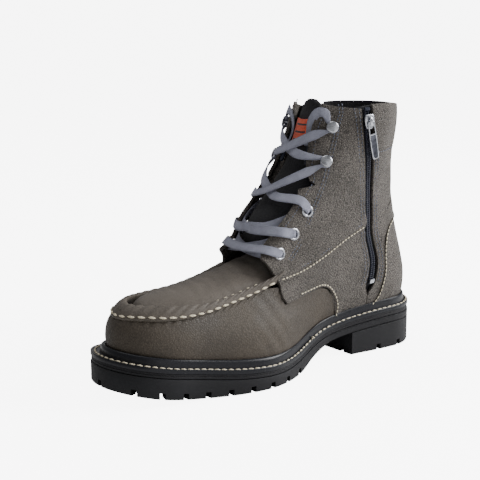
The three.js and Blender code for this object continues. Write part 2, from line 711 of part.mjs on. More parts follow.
function backParts() {
  const counter = coons(counterInner, mirrored(counterInner), (s) => {
    const [a, h] = counterInner(0);
    return [lerp(a, -a, s), h];
  }, counterTop);
  add('counter', panel(counter, 16, 8, 0, -LEATHER), 'leather');

  // heel quarter: from the zipper over the counter and round to the outer side
  const rearSeam = seam(REAR_SEAM, 1);
  const share = 0.36;
  const low = (s) => {
    if (s < share) return counterInner(s / share);
    if (s > 1 - share) return mirrored(counterInner)((1 - s) / share);
    return counterTop((s - share) / (1 - 2 * share));
  };
  const high = (s) => {
    if (s < share) return rearSeam(s / share);
    if (s > 1 - share) return mirrored(rearSeam)((1 - s) / share);
    const [a, h] = rearSeam(1);
    const k = (s - share) / (1 - 2 * share);
    return [lerp(a, -a, k), h + 1.5 * Math.sin(Math.PI * k)];
  };
  const zipSideLow = seam([COUNTER_EDGE[0], [84.6, 46], ...stretch(zipRear, 53, 101), REAR_SEAM[0]], 1);
  const outerSide = straight(mirrored(counterInner)(0), mirrored(rearSeam)(0));
  add('heel_quarter', panel(coons(zipSideLow, outerSide, low, high), 25, 7, 0, -LEATHER), 'leather');

  // the shaft's back panel, and the padded collar over it
  const zipEdge = seam([REAR_SEAM[0], ...stretch(zipRear, 110, COLLAR_Z, 5)], 1);
  const collarLow = zipEdge(1);
  const level = ([a, h]) => (s) => [lerp(a, -a, s), h];
  const back = coons(zipEdge, straight(high(1), level(collarLow)(1)), high, level(collarLow));
  add('shaft_back', panel(back, 25, 5, 0, -LEATHER), 'leather');
  const collarSide = seam(stretch(zipRear, COLLAR_Z, TOP_Z - 2, 4), 1);
  const collar = (s, r) => {
    const [a, h] = level(collarSide(r))(s);
    return [a, h - COLLAR_DIP * r * smoothstep(s, 0, 0.5)];
  };
  add('collar_back', panel(collar, 22, 3, COLLAR_OUT, -LEATHER), 'leather');

  const strip = (half, from, to) => (s, r) => [lerp(half, -half, s), lerp(from, to, r)];
  add('back_strap', panel(strip(0.16, 70, 126), 2, 6, 1.9, 0.6), 'textile');
  add('pull_tab', panel(strip(0.2, 134, 166), 2, 4, COLLAR_OUT + 2.4, COLLAR_OUT + 0.7), 'textile');
  const within = -LEATHER - 0.5;
  const foamEdge = collarLow[0] - 0.1;
  add('collar_foam', panel(strip(foamEdge, 136, 166), 20, 2, within, within - STIFFENER + 0.1), 'textile');
  add('counter_stiffener', panel(strip(0.76, 5, 66), 14, 5, within, within - STIFFENER + 0.1), 'board');
  const puff = (s, r) => {
    const a = lerp(2.3, TURN - 2.3, s);
    return [a, lerp(5, mocHeight(a) - 4, r)];
  };
  add('toe_puff', panel(puff, 26, 3, within - 0.5, within - STIFFENER - 0.1), 'board');
  return { high, collarLow, collarSide };
}

function outerSideParts({ high, collarLow, collarSide }) {
  const stay = cornered(STAY, -1);
  const corner = mirrored(() => collarLow)(0);
  const clear = -0.012;
  const rearLow = straight([high(1)[0] + clear, high(1)[1]], [corner[0] + clear, corner[1]]);
  const rearHigh = (r) => {
    const [a, h] = mirrored(collarSide)(r);
    return [a, h - COLLAR_DIP * r];
  };
  const rear = (r) => (r < 0.6 ? rearLow(r / 0.6) : rearHigh((r - 0.6) / 0.4));
  const cream = seam([...CREAM.slice(0, 4), REAR_SEAM[0]], -1);
  const upper = coons(stay, rear, cream, straight(stay(1), rear(1)));
  add('quarter_outer_upper', cut(panel(upper, 10, 16, 0, -LEATHER), holeCutters(-1)), 'leather');
  const lap = [...LAP].reverse();
  const lapEdge = seam([...lap.slice(0, 7), [56.5, weltTop(56.5) + FLOOR]], -1);
  const rearEdge = straight(mirrored(counterInner)(0), high(1));
  const lapTop = (s) => (s < 0.62 ? lapEdge(s / 0.62)
    : straight(lapEdge(1), rearEdge(0))((s - 0.62) / 0.38));
  const lower = coons(straight(lapTop(0), cream(0)), rearEdge, lapTop, cream);
  add('quarter_outer_lower', panel(lower, 20, 7, 0, -LEATHER), 'leather');
}

// ---------------------------------------------------------------- lining and tongue
const LINING_OUT = -(LEATHER + STIFFENER + 0.9);
const LINING_IN = LINING_OUT - LINING;
const STAY_LINING = [[10, 78], [14, 94], [27, 110], [38, 124], [48, 142], [54, 170], [63, 200]];
function liningParts() {
  const edge = seam(STAY_LINING, 1);
  const wrap = (s, r) => {
    const [a, h] = edge(r);
    const fall = smoothstep(s, 0.1, 0.5) * (1 - smoothstep(s, 0.8, 1));
    return [lerp(a, -a, s), h - (COLLAR_DIP - 1) * r * fall];
  };
  add('lining_shaft', panel(wrap, 26, 7, LINING_OUT, LINING_IN), 'textile');
  const foot = (s, r) => {
    const a = lerp(-Math.PI, Math.PI, s);
    const shared = place(10, 78, 1);
    const turned = Math.abs(a);
    const seamHeight = mocHeight(a > 0 ? a : TURN + a);
    const lined = turned < shared[0] ? edge(0)[1] : Math.min(edge(0)[1], seamHeight - 1);
    return [a, lerp((FOOTBED_TOP + 2 * GAP) / STRETCH.z, lined - 1, r)];
  };
  add('lining_foot', panel(foot, 40, 4, LINING_OUT, LINING_IN, true), 'textile');
}

const TONGUE_BEHIND = 2.8;      // the tongue's face behind the doubled leather of the throat
const TONGUE_OUT = -(2 * LEATHER + TONGUE_BEHIND);
const TONGUE_LOW = 84;
const TONGUE_TOP = 180;
function tongueParts() {
  const half = (h) => smooth([60, 95, 130, 182], [0.62, 0.95, 1.0, 1.12], h);
  const tongue = (s, r) => {
    const h = lerp(TONGUE_LOW, TONGUE_TOP, r);
    return [lerp(Math.PI - half(h), Math.PI + half(h), s), h];
  };
  add('tongue', panel(tongue, 10, 11, TONGUE_OUT, TONGUE_OUT - TONGUE_PAD), 'textile');
  const label = (s, r) => [Math.PI + lerp(-0.3, 0.3, s), lerp(150, 166, r)];
  add('tongue_label', panel(label, 4, 2, TONGUE_OUT + 1.2, TONGUE_OUT + 0.4), 'label');
}

// ---------------------------------------------------------------- zipper
const COIL_HIGH = 2.2;
function zipParts() {
  const strip = (name, from, to, out, inn, material, low = 55, high = 201.5, steps = 18) => {
    const left = seam(stretch(zipSide(from), low, high, 12), 1);
    const right = seam(stretch(zipSide(to), low, high, 12), 1);
    add(name, panel(across(left, right), 1, steps, out, inn), material);
  };
  strip('zip_tape_front', -9, -0.1, -LEATHER - 0.35, -LEATHER - 0.95, 'textile');
  strip('zip_tape_rear', 0.1, 9, -LEATHER - 0.35, -LEATHER - 0.95, 'textile');
  const coilTop = COIL_HIGH - LEATHER;
  strip('zip_coil_front', -COIL_WIDTH - 0.1, -0.05, coilTop, -LEATHER, 'coil');
  strip('zip_coil_rear', 0.05, COIL_WIDTH + 0.1, coilTop, -LEATHER, 'coil');
  const stop = (name, low, high) => {
    const left = seam(stretch(zipSide(-2.8), low, high, 2), 1);
    const right = seam(stretch(zipSide(2.8), low, high, 2), 1);
    add(name, panel(across(left, right), 1, 2, coilTop + 1.6, coilTop + GAP), 'metal');
  };
  stop('zip_bottom_stop', 57, 62);
  stop('zip_top_stop', 198.5, 201);
}

// a point on the zipper's line at height z, and the leather's outward normal there
const zipHeights = ZIP_LINE.map((p) => p[1]);
const zipYs = ZIP_LINE.map((p) => p[0]);
const onZip = (z) => place(smooth(zipHeights, zipYs, z), z, 1);
const SLIDER_Z = 190;
const SLIDER_FLOAT = 1.7;       // the slider's plate above the coil, which bows along the run
const SLIDER_PLATE = 1.4;
const PULL_THICK = 1.2;
const PULL_BAR = 1.4;           // the bar that runs under the slider's bridge
const PULL_WINDOW = 10;

function sliderParts() {
  const top = skin(...onZip(SLIDER_Z));
  const up = top.clone().sub(skin(...onZip(SLIDER_Z - SLIDER_TRAVEL))).normalize();
  const out = skinNormal(...onZip(SLIDER_Z - 10));
  out.addScaledVector(up, -out.dot(up)).normalize();
  const wide = new THREE.Vector3().crossVectors(out, up);
  const basis = new THREE.Matrix4().makeBasis(wide, out, up);
  const base = top.addScaledVector(out, SLIDER_FLOAT);
  const placed = (shape) => shape.applyMatrix4(basis.clone().setPosition(base));

  const outline = new THREE.Shape();
  const half = SLIDER_WIDTH / 2;
  outline.moveTo(-half, SLIDER_LENGTH * 0.5);
  outline.lineTo(-half, SLIDER_LENGTH * 0.1);
  outline.lineTo(-half * 0.72, -SLIDER_LENGTH * 0.5);
  outline.lineTo(half * 0.72, -SLIDER_LENGTH * 0.5);
  outline.lineTo(half, SLIDER_LENGTH * 0.1);
  outline.lineTo(half, SLIDER_LENGTH * 0.5);
  const plate = new THREE.ExtrudeGeometry(outline, { depth: SLIDER_PLATE, bevelEnabled: false });
  plate.rotateX(Math.PI / 2).translate(0, SLIDER_PLATE, 0);
  // the bridge is an arch over the plate that the pull hangs on
  const arch = new THREE.Shape();
  arch.moveTo(-4.5, -0.2);
  arch.lineTo(-4.5, 1.5);
  arch.lineTo(-2.5, 4);
  arch.lineTo(2.5, 4);
  arch.lineTo(4.5, 1.5);
  arch.lineTo(4.5, -0.2);
  arch.lineTo(3.2, -0.2);
  arch.lineTo(3.2, 1);
  arch.lineTo(1.9, 2.7);
  arch.lineTo(-1.9, 2.7);
  arch.lineTo(-3.2, 1);
  arch.lineTo(-3.2, -0.2);
  const bridge = new THREE.ExtrudeGeometry(arch, { depth: 2.6, bevelEnabled: false });
  bridge.rotateY(-Math.PI / 2).translate(1.3, SLIDER_PLATE, 0);
  const body = fromManifold(toManifold(plate).add(toManifold(bridge)));
  add('zip_slider', placed(body), 'metal');

  const pin = base.clone().addScaledVector(out, SLIDER_PLATE + 1.4);
  const pull = new THREE.Shape();
  const w = PULL_WIDTH / 2;
  pull.moveTo(-w + 1, PULL_BAR / 2);
  pull.lineTo(w - 1, PULL_BAR / 2);
  pull.lineTo(w, -PULL_BAR / 2);
  pull.lineTo(w, PULL_BAR / 2 - PULL_LENGTH);
  pull.lineTo(-w, PULL_BAR / 2 - PULL_LENGTH);
  pull.lineTo(-w, -PULL_BAR / 2);
  const window = new THREE.Path();
  window.moveTo(-w + 1, -PULL_BAR / 2);
  window.lineTo(-w + 1, -PULL_WINDOW);
  window.lineTo(w - 1, -PULL_WINDOW);
  window.lineTo(w - 1, -PULL_BAR / 2);
  pull.holes.push(window);
  const tab = new THREE.ExtrudeGeometry(pull, { depth: PULL_THICK, bevelEnabled: false });
  tab.rotateX(Math.PI / 2).translate(0, PULL_THICK / 2, 0);
  tab.rotateY(THREE.MathUtils.degToRad(PULL_LEAN));
  tab.applyMatrix4(basis.clone().setPosition(pin));
  add('zip_pull', tab, 'metal');
}

// ---------------------------------------------------------------- eyelets, hooks, lace
function turned(profile, sides, angle, h, out) {
  const shape = new THREE.LatheGeometry(profile.map(([r, y]) => new THREE.Vector2(r, y)), sides);
  const turn = new THREE.Quaternion().setFromUnitVectors(new THREE.Vector3(0, 1, 0), skinNormal(angle, h));
  return shape.applyQuaternion(turn).translate(...onSkin(angle, h, out).toArray());
}

const FLANGE_LIFT = 0.9;        // a flat flange over the curved leather
function lacingHardware() {
  const r = EYELET_HOLE_R;
  const ring = [[r, -LEATHER], [r + 0.6, -LEATHER], [r + 0.6, FLANGE_LIFT], [EYELET_FLANGE_R, FLANGE_LIFT],
    [EYELET_FLANGE_R, 1.2], [EYELET_FLANGE_R - 0.8, 1.8], [r, 1.6], [r, -LEATHER]];
  const spool = [[0, 0.6], [HOOK_R, 0.6], [HOOK_R, 1.2], [HOOK_POST_R, 1.6], [HOOK_POST_R, 5.2],
    [HOOK_R - 0.4, 5.4], [HOOK_R, 6], [HOOK_R - 1, 6.7], [0, 6.9]];
  for (const [side, name] of [[1, 'inner'], [-1, 'outer']]) {
    eyeletPlaces.forEach(([y, z], i) => {
      add(`eyelet_${name}_${i + 1}`, turned(ring, 12, ...place(y, z, side), 0), 'metal');
    });
    hookPlaces.forEach(([y, z], i) => {
      add(`lace_hook_${name}_${i + 1}`, turned(spool, 10, ...place(y, z, side), 0), 'metal');
    });
  }
}

// The lace lies straight across between the lowest eyelets. Each half then goes in, crosses
// over the tongue behind both edges, comes out of the next eyelet and crosses again over
// the edge, row by row, round the two hooks, and its end is tucked down behind the eyestay.
const LACE_STEP = 6;
const LACE_SIDES = 6;
const AGLET_LENGTH = 15;
const OVER_EDGE = 4;          // lace above the leather where it crosses an edge
const HOOK_LEVEL = 3.5;         // lace above the leather at a hook's post
const UNDER_EDGE = -(LEATHER + 2.2);  // lace behind the leather
function lacePoints() {
  const rows = [...eyeletPlaces, ...hookPlaces];
  const spot = (i, side) => {
    const [a, h] = place(...rows[i], side);
    return side > 0 ? [a, h] : [TURN + a, h];
  };
  // angle per millimetre along the surface
  const perMm = (a, h) => 0.02 / skin(a + 0.01, h).distanceTo(skin(a - 0.01, h));
  const half = (first) => {
    const pts = [];
    const on = (a, h, out) => pts.push(onSkin(a, h, out));
    let side = first;
    const [a, h] = spot(0, side);
    on(a, h, 3.4);
    on(a, h, -LEATHER / 2);
    for (let i = 1; i < rows.length; i += 1) {
      const [a0, h0] = spot(i - 1, side);
      const target = -side;
      const [a1, h1] = spot(i, target);
      const step0 = perMm(a0, h0) * side;
      const step1 = perMm(a1, h1) * target;
      const over = first * (i % 2 ? 1 : -1) < 0;
      const at = (k, rise, out) => on(lerp(a0, a1, k), lerp(h0, h1, rise), out);
      if (i === 1) {                     // behind both edges, over the tongue
        on(a0 + step0 * 0.4, h0, UNDER_EDGE + 1);
        on(a0 + step0 * 5.4, h0 + 0.5, UNDER_EDGE);
        on(a0 + step0 * 12, lerp(h0, h1, 0.15), UNDER_EDGE);
        at(0.5, 0.5, over ? -1.6 : UNDER_EDGE - 0.6);
      } else if (i <= eyeletPlaces.length) {
        on(a0 + step0 * 3.6, lerp(h0, h1, 0.1), 3.9);
        on(a0 + step0 * 13, lerp(h0, h1, 0.27), OVER_EDGE);
        at(0.36, 0.44, 1.2);
        at(0.5, 0.56, over ? 1.4 : -2.2);
      } else {
        at(0.3, 0.3, 3.4);
        at(0.5, 0.5, over ? 3.8 : 0);
      }
      if (i < eyeletPlaces.length) {     // up from behind through the eyelet
        at(0.66, 0.72, UNDER_EDGE + 0.4);
        on(a1 + step1 * 11, lerp(h0, h1, 0.92), UNDER_EDGE);
        on(a1 + step1 * 5.4, h1 - 1, UNDER_EDGE);
        on(a1 + step1 * 0.4, h1, UNDER_EDGE + 1);
        on(a1, h1, -LEATHER / 2);
        on(a1, h1, 3);
      } else {
        const round = HOOK_POST_R + LACE_R + 0.9;
        at(0.66, 0.68, 2.4);
        on(a1 + step1 * 13, lerp(h0, h1, 0.84), OVER_EDGE);
        on(a1 + step1 * round, h1 - round * 0.9, HOOK_LEVEL);
        on(a1 - step1 * round * 0.5, h1 - round, HOOK_LEVEL);
        on(a1 - step1 * round * 1.1, h1, HOOK_LEVEL);
        on(a1 - step1 * round * 0.5, h1 + round, HOOK_LEVEL);
        on(a1 + step1 * round, h1 + round, HOOK_LEVEL);
      }
      side = target;
    }
    const [a4, h4] = spot(rows.length - 1, side);
    const step = perMm(a4, h4) * side;
    on(a4 + step * 12, h4 + 8, OVER_EDGE);
    on(a4 + step * 19, h4 + 9, 1.6);
    on(a4 + step * 23, h4 + 6, -3);
    on(a4 + step * 20, h4, UNDER_EDGE);
    on(a4 + step * 18, h4 - 9, UNDER_EDGE + 0.4);
    return pts;
  };
  const [a, h] = spot(0, 1);
  const [b] = spot(0, -1);
  const barLevel = (k) => (k > 0.2 && k < 0.8 ? 2.8 : OVER_EDGE + 0.6);
  const bar = [0.14, 0.32, 0.5, 0.68, 0.86].map((k) => onSkin(lerp(b, a, k), h + 0.5, barLevel(k)));
  return [...half(-1).reverse(), ...bar, ...half(1)];
}

function laceParts() {
  const line = new THREE.CatmullRomCurve3(lacePoints(), false, 'centripetal');
  line.arcLengthDivisions = 2000;
  const steps = Math.round(line.getLength() / LACE_STEP);
  const ring = Array.from({ length: LACE_SIDES }, (_, i) => (
    new THREE.Vector2(LACE_R, 0).rotateAround(new THREE.Vector2(), (TURN * i) / LACE_SIDES)));
  const section = new THREE.Shape(ring);
  const along = { steps, extrudePath: line, bevelEnabled: false };
  add('lace', new THREE.ExtrudeGeometry(section, along), 'lace');
  const tip = (at, toward) => {
    const axis = toward.clone().sub(at).normalize();
    const turn = new THREE.Quaternion().setFromUnitVectors(new THREE.Vector3(0, 1, 0), axis);
    const rod = new THREE.CylinderGeometry(LACE_R + 0.2, LACE_R, AGLET_LENGTH, 8);
    const middle = at.clone().addScaledVector(axis, AGLET_LENGTH / 2 + GAP);
    return rod.applyQuaternion(turn).translate(...middle.toArray());
  };
  const ends = [0, 1].map((t) => {
    const end = line.getPoint(t);
    return [end, end.clone().addScaledVector(line.getTangent(t), t ? 1 : -1)];
  });
  add('aglet_inner', tip(...ends[0]), 'textile');
  add('aglet_outer', tip(...ends[1]), 'textile');
}

// ----------------------------------------------------------------
sole();
weltParts();
insideSole();
vampParts();
apronParts();
quarterParts();
outerSideParts(backParts());
liningParts();
tongueParts();
zipParts();
sliderParts();
lacingHardware();
laceParts();

export default boot;
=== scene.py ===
"""Looks of a moc-toe work boot for the right foot: welted lugged sole, leather upper
with a raised moc seam, side zipper, eyelets and hooks, flat lace and padded tongue.

Every new surface is worked out with numpy from the boot's last. A place on the upper
is an angle round the boot (0 at the back, pi at the toe, the inner side between them)
and a height above the welt. Lengths here are millimetres until a mesh is made."""

import bmesh
import bpy
import numpy as np
from mathutils import Matrix, Vector


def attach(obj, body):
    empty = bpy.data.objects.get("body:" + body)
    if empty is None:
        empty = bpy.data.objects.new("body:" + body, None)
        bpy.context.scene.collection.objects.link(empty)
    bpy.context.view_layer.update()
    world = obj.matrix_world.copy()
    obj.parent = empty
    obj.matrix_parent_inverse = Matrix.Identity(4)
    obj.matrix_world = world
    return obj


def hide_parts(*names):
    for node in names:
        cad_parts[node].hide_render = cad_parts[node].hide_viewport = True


bl_info = {
    "name": "Moc-toe work boot",
    "version": (1, 0, 0),
    "blender": (4, 5, 0),
    "location": "View3D > Sidebar > Boot",
    "description": "Builds the leather, sole, lace, zipper and stage of a work boot round its frame",
    "category": "Add Mesh",
}

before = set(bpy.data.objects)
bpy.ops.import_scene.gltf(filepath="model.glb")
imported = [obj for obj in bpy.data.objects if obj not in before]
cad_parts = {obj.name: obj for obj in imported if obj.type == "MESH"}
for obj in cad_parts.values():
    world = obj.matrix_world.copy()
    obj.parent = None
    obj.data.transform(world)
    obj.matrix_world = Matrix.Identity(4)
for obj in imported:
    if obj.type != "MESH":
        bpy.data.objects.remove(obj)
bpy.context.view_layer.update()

MM = 0.001
TURN = 2 * np.pi
SEED = 7

# ---------------------------------------------------------------- the last
WELT_LINE = np.array([(-152, 35.1), (-100, 25), (-50, 18.3), (0, 18.3), (45, 28.1), (95, 33.9), (152, 34.8)])
TREAD_LINE = np.array([(-152, 12.5), (-120, 5.4), (-90, 1.4), (-60, 0), (-10, 0), (8, 1.6), (24, 7.5), (45, 14.8)])
STATIONS = np.array([0, 0.15, 0.37, 0.6, 0.85, 1])
# columns: back, front, toe swing, four inner half widths, four outer ones, back round, front round
SOLE_ROW = np.array([152, -152, 8, 36.2, 33, 56.5, 42.8, 38, 40, 55, 47, 38, 52], float)
UPPER_HEIGHTS = np.array([0, 14, 27, 40, 55, 75, 100, 130, 175], float)
UPPER = np.array([
    (145, -140, 8, 30, 27, 50, 37, 31, 35, 47, 36, 35, 50),
    (147, -141, 8, 33, 31, 49, 38, 34, 37, 49, 38, 36, 50),
    (146.5, -137, 8, 34, 33, 46, 36, 35, 38, 46, 37, 36, 48),
    (144, -121, 7, 33, 34, 40, 33, 34, 38, 42, 34, 36, 44),
    (140, -84, 5, 32, 35, 36, 29, 33, 38, 38, 31, 36, 34),
    (135, -28, 3, 31, 36, 34, 29, 32, 37, 35, 31, 36, 20),
    (131.5, -11, 1, 31, 36, 34, 28, 32, 37, 34, 29, 37, 28),
    (131, 21, 0, 33, 38, 36, 29, 33, 38, 36, 29, 38, 34),
    (134.5, 43, 0, 35, 39, 37, 29, 35, 39, 37, 29, 38, 36),
], float)
WELT_THICK, MIDSOLE_THICK, OUTSOLE_THICK, GAP = 3.4, 3.5, 5.5, 0.3
LEATHER, LINING_OUT, LINING_IN = 2.2, -4.1, -5.7


def smooth(xs, ys, x, level_ends=False):
    """Cubic through (xs, ys), each slope the mean of its neighbours' weighted by distance."""
    xs, ys = np.asarray(xs, float), np.asarray(ys, float)
    x = np.clip(x, xs[0], xs[-1])
    step = np.diff(xs)
    slope = np.diff(ys) / step
    tangent = np.empty_like(ys)
    tangent[0], tangent[-1] = slope[0], slope[-1]
    tangent[1:-1] = (slope[:-1] * step[1:] + slope[1:] * step[:-1]) / (step[1:] + step[:-1])
    if level_ends:
        tangent[0] = tangent[-1] = 0
    i = np.clip(np.searchsorted(xs, x, side="left") - 1, 0, len(xs) - 2)
    s = (x - xs[i]) / step[i]
    return (ys[i] * (1 + 2 * s) * (1 - s) ** 2 + tangent[i] * step[i] * s * (1 - s) ** 2
            + ys[i + 1] * s * s * (3 - 2 * s) + tangent[i + 1] * step[i] * s * s * (s - 1))


def ease(low, high, x):
    """0 below low, 1 above high, and a smooth step between."""
    t = np.clip((np.asarray(x, float) - low) / (high - low), 0, 1)
    return t * t * (3 - 2 * t)


def welt_top(y):
    """Height of the welt's top at y."""
    return smooth(WELT_LINE[:, 0], WELT_LINE[:, 1], y)


def outsole_top(y):
    """Height of the outsole's top at y: the welt's, less what lies between."""
    return welt_top(y) - WELT_THICK - MIDSOLE_THICK - 2 * GAP


def tread(y):
    """Underside of the front sole, and of the flat wall that sits on the heel."""
    low = smooth(TREAD_LINE[:, 0], TREAD_LINE[:, 1], y)
    wall = outsole_top(y) - OUTSOLE_THICK
    return np.where(y > 45, wall, np.clip(low, 0, wall))


def half_width(widths, share):
    """Cubic through the four widths at STATIONS, level where it runs into the two rounds."""
    flat = np.stack([widths[0], widths[0], widths[1], widths[2], widths[3], widths[3]])
    step = np.diff(STATIONS).reshape((5,) + (1,) * (flat.ndim - 1))
    slope = np.diff(flat, axis=0) / step
    tangent = np.zeros_like(flat)
    tangent[1:5] = (slope[:-1] * step[1:] + slope[1:] * step[:-1]) / (step[1:] + step[:-1])
    i = np.clip(np.searchsorted(STATIONS, share, side="left") - 1, 0, 4)
    wide = np.diff(STATIONS)[i]
    s = (share - STATIONS[i]) / wide
    pick = lambda rows, k: np.take_along_axis(rows, (i + k)[None], 0)[0]
    return (pick(flat, 0) * (1 + 2 * s) * (1 - s) ** 2 + pick(tangent, 0) * wide * s * (1 - s) ** 2
            + pick(flat, 1) * s * s * (3 - 2 * s) + pick(tangent, 1) * wide * s * s * (s - 1))


def on_outline(row, angle):
    """x and y at an angle of an outline: the half width times a round at each end, swung to the toe."""
    turn = np.mod(angle, TURN)
    inner = turn <= np.pi
    share = (1 - np.cos(turn)) / 2
    y = row[0] + (row[1] - row[0]) * share
    widths = np.where(inner, row[3:7], row[7:11])
    round_off = lambda q: np.sqrt(1 - (1 - np.clip(q, 0, 1)) ** 2)
    half = half_width(widths, share) * round_off((row[0] - y) / row[11]) * round_off((y - row[1]) / row[12])
    return row[2] * share ** 2 + np.where(inner, half, -half), y


def outline_rows(h):
    """The upper's outline values at each height, blended between the measured outlines."""
    h = np.clip(h, 0, UPPER_HEIGHTS[-1])
    return np.stack([smooth(UPPER_HEIGHTS, UPPER[:, k], h) for k in range(UPPER.shape[1])])


def sole_rows(angle):
    return np.broadcast_to(SOLE_ROW.reshape((13,) + (1,) * np.ndim(angle)), (13,) + np.shape(angle))


_edge = on_outline(sole_rows(np.linspace(0, TURN, 241)), np.linspace(0, TURN, 241))[0]
MIDDLE_X = (_edge.max() + _edge.min()) / 2


def skin(angle, h):
    """Outer face of the leather."""
    angle, h = np.broadcast_arrays(np.asarray(angle, float), np.asarray(h, float))
    x, y = on_outline(outline_rows(h), angle)
    return np.stack([x - MIDDLE_X, y, welt_top(y) + h], -1)


def unit(v):
    """Vectors divided by their length."""
    return v / np.maximum(np.linalg.norm(v, axis=-1, keepdims=True), 1e-9)


def skin_normal(angle, h):
    """Outward normal of the leather, from its slopes across and up."""
    angle, h = np.broadcast_arrays(np.asarray(angle, float), np.asarray(h, float))
    across = skin(angle + 0.01, h) - skin(angle - 0.01, h)
    up = skin(angle, h + 0.5) - skin(angle, np.maximum(h - 0.5, 0))
    return unit(np.cross(up, across))


def on_skin(angle, h, out=0.0):
    """Points out millimetres off the skin, along its normal."""
    return skin(angle, h) + skin_normal(angle, h) * np.asarray(out, float)[..., None]


def place(y, z, side, over_toe=False):
    """Angle and height of the side-view point (y, z) on the inner (1) or outer (-1) side."""
    y, z = np.broadcast_arrays(np.asarray(y, float), np.asarray(z, float))
    h = z - welt_top(y)
    row = outline_rows(h)
    angle = np.arccos(1 - 2 * np.clip((row[0] - y) / (row[0] - row[1]), 0, 1))
    if side < 0:
        angle = TURN - angle if over_toe else -angle
    return np.stack([angle, h], -1)


def run_length(points):
    """Distance along the points, summed from the first."""
    return np.concatenate([[0], np.cumsum(np.linalg.norm(np.diff(points, axis=0), axis=1))])


def seam(points, side, corners=False, over_toe=False):
    """Line on the upper through side-view points: smooth, or straight between corners; s runs 0 to 1."""
    points = np.asarray(points, float)
    run = run_length(points)
    curve = (lambda k, x: np.interp(x, run, points[:, k])) if corners else (lambda k, x: smooth(run, points[:, k], x))
    return lambda s: place(curve(0, np.asarray(s) * run[-1]), curve(1, np.asarray(s) * run[-1]), side, over_toe)


def line(p, q):
    """Straight line between two places, as a function of s."""
    p, q = np.asarray(p, float), np.asarray(q, float)
    return lambda s: p + (q - p) * np.asarray(s, float)[..., None]


def mirrored(edge):
    """A line on the other side: its angle changes sign."""
    return lambda s: edge(s) * np.array([-1, 1])


def patch(left, right, low, high):
    """Coons patch: the two ruled blends of opposite edges, less the blend of the four corners."""
    def at(s, r):
        a, b = s[..., None], r[..., None]
        ends = lambda edge: (edge(np.zeros(())), edge(np.ones(())))
        (p, q), (u, v) = ends(low), ends(high)
        return (left(r) * (1 - a) + right(r) * a + low(s) * (1 - b) + high(s) * b
                - ((p * (1 - a) + q * a) * (1 - b) + (u * (1 - a) + v * a) * b))
    return at


def stretch(points, low, high, steps=8):
    """Part of a side-view line between two heights."""
    points = np.asarray(points, float)
    z = np.linspace(low, high, steps + 1)
    return np.stack([smooth(points[:, 1], points[:, 0], z), z], -1)


def ripples(points, wavelength, seed):
    """Gentle unevenness from -1 to 1: seven sine waves of random direction and phase, added."""
    rng = np.random.default_rng(SEED + seed)
    waves = unit(rng.normal(size=(7, 3))) * (TURN / wavelength) * rng.uniform(0.6, 1.5, (7, 1))
    return np.sin(points @ waves.T + rng.uniform(0, TURN, 7)).mean(-1) * 1.9


# ---------------------------------------------------------------- meshes
def make(name, points, faces, uv=None):
    """Mesh object from millimetre points and faces (arrays or lists of corner numbers)."""
    mesh = bpy.data.meshes.new(name)
    mesh.from_pydata((np.asarray(points) * MM).tolist(), [], faces.tolist() if hasattr(faces, "tolist") else faces)
    if uv is not None:
        corners = np.zeros(len(mesh.loops), int)
        mesh.loops.foreach_get("vertex_index", corners)
        mesh.uv_layers.new(name="weave").data.foreach_set("uv", np.asarray(uv, float)[corners].ravel())
    return finish_mesh(name, mesh)


def finish_mesh(name, mesh):
    """Doubles merged, faces turned outward and shaded smooth; the object is linked at the origin."""
    bm = bmesh.new()
    bm.from_mesh(mesh)
    bmesh.ops.remove_doubles(bm, verts=bm.verts, dist=0.002 * MM)
    bmesh.ops.dissolve_degenerate(bm, edges=bm.edges, dist=0.001 * MM)
    bmesh.ops.recalc_face_normals(bm, faces=bm.faces)
    bm.to_mesh(mesh)
    bm.free()
    mesh.shade_smooth()
    obj = bpy.data.objects.new(name, mesh)
    bpy.context.scene.collection.objects.link(obj)
    return obj


def grid_faces(rows, columns, wrap_rows=False, wrap_columns=False):
    """Quads of a rows x columns grid of points, joined end to end where it wraps."""
    i = np.arange(rows if wrap_rows else rows - 1)[:, None]
    j = np.arange(columns if wrap_columns else columns - 1)[None, :]
    i2, j2 = (i + 1) % rows, (j + 1) % columns
    quads = np.stack(np.broadcast_arrays(i * columns + j, i2 * columns + j, i2 * columns + j2, i * columns + j2), -1)
    return quads.reshape(-1, 4)


def grid(name, points, wrap_rows=False, wrap_columns=False, uv=None):
    """A mesh of rows and columns of points, closed round where asked."""
    rows, columns = points.shape[:2]
    flat_uv = None if uv is None else uv.reshape(-1, 2)
    return make(name, points.reshape(-1, 3), grid_faces(rows, columns, wrap_rows, wrap_columns), flat_uv)


def sharp(obj, degrees=38):
    """Edges sharper than this stay sharp."""
    bpy.context.view_layer.objects.active = obj
    with bpy.context.temp_override(object=obj, active_object=obj, selected_objects=[obj], selected_editable_objects=[obj]):
        bpy.ops.object.shade_smooth_by_angle(angle=np.radians(degrees))
    return obj


def shell(name, outer, inner, uv=None):
    """Closed skin from an outer and an inner grid of points that share their border places."""
    rows, columns = outer.shape[:2]
    n = rows * columns
    top = grid_faces(rows, columns)
    index = np.arange(n).reshape(rows, columns)
    rim = np.concatenate([index[0, :], index[1:, -1], index[-1, -2::-1], index[-2:0:-1, 0]])
    nxt = np.roll(rim, -1)
    walls = np.stack([rim, rim + n, nxt + n, nxt], -1)
    points = np.concatenate([outer.reshape(-1, 3), inner.reshape(-1, 3)])
    flat_uv = None if uv is None else np.concatenate([uv.reshape(-1, 2)] * 2)
    return make(name, points, np.concatenate([top, top[:, ::-1] + n, walls]), flat_uv)


RIM_STEPS = np.array([0.0, 0.12, 0.5, 1.0])     # how far in each rim line lies, of the edge's round
RIM_DROPS = np.array([1.0, 0.45, 0.1, 0.0])     # how far it lies below the face, of the same round


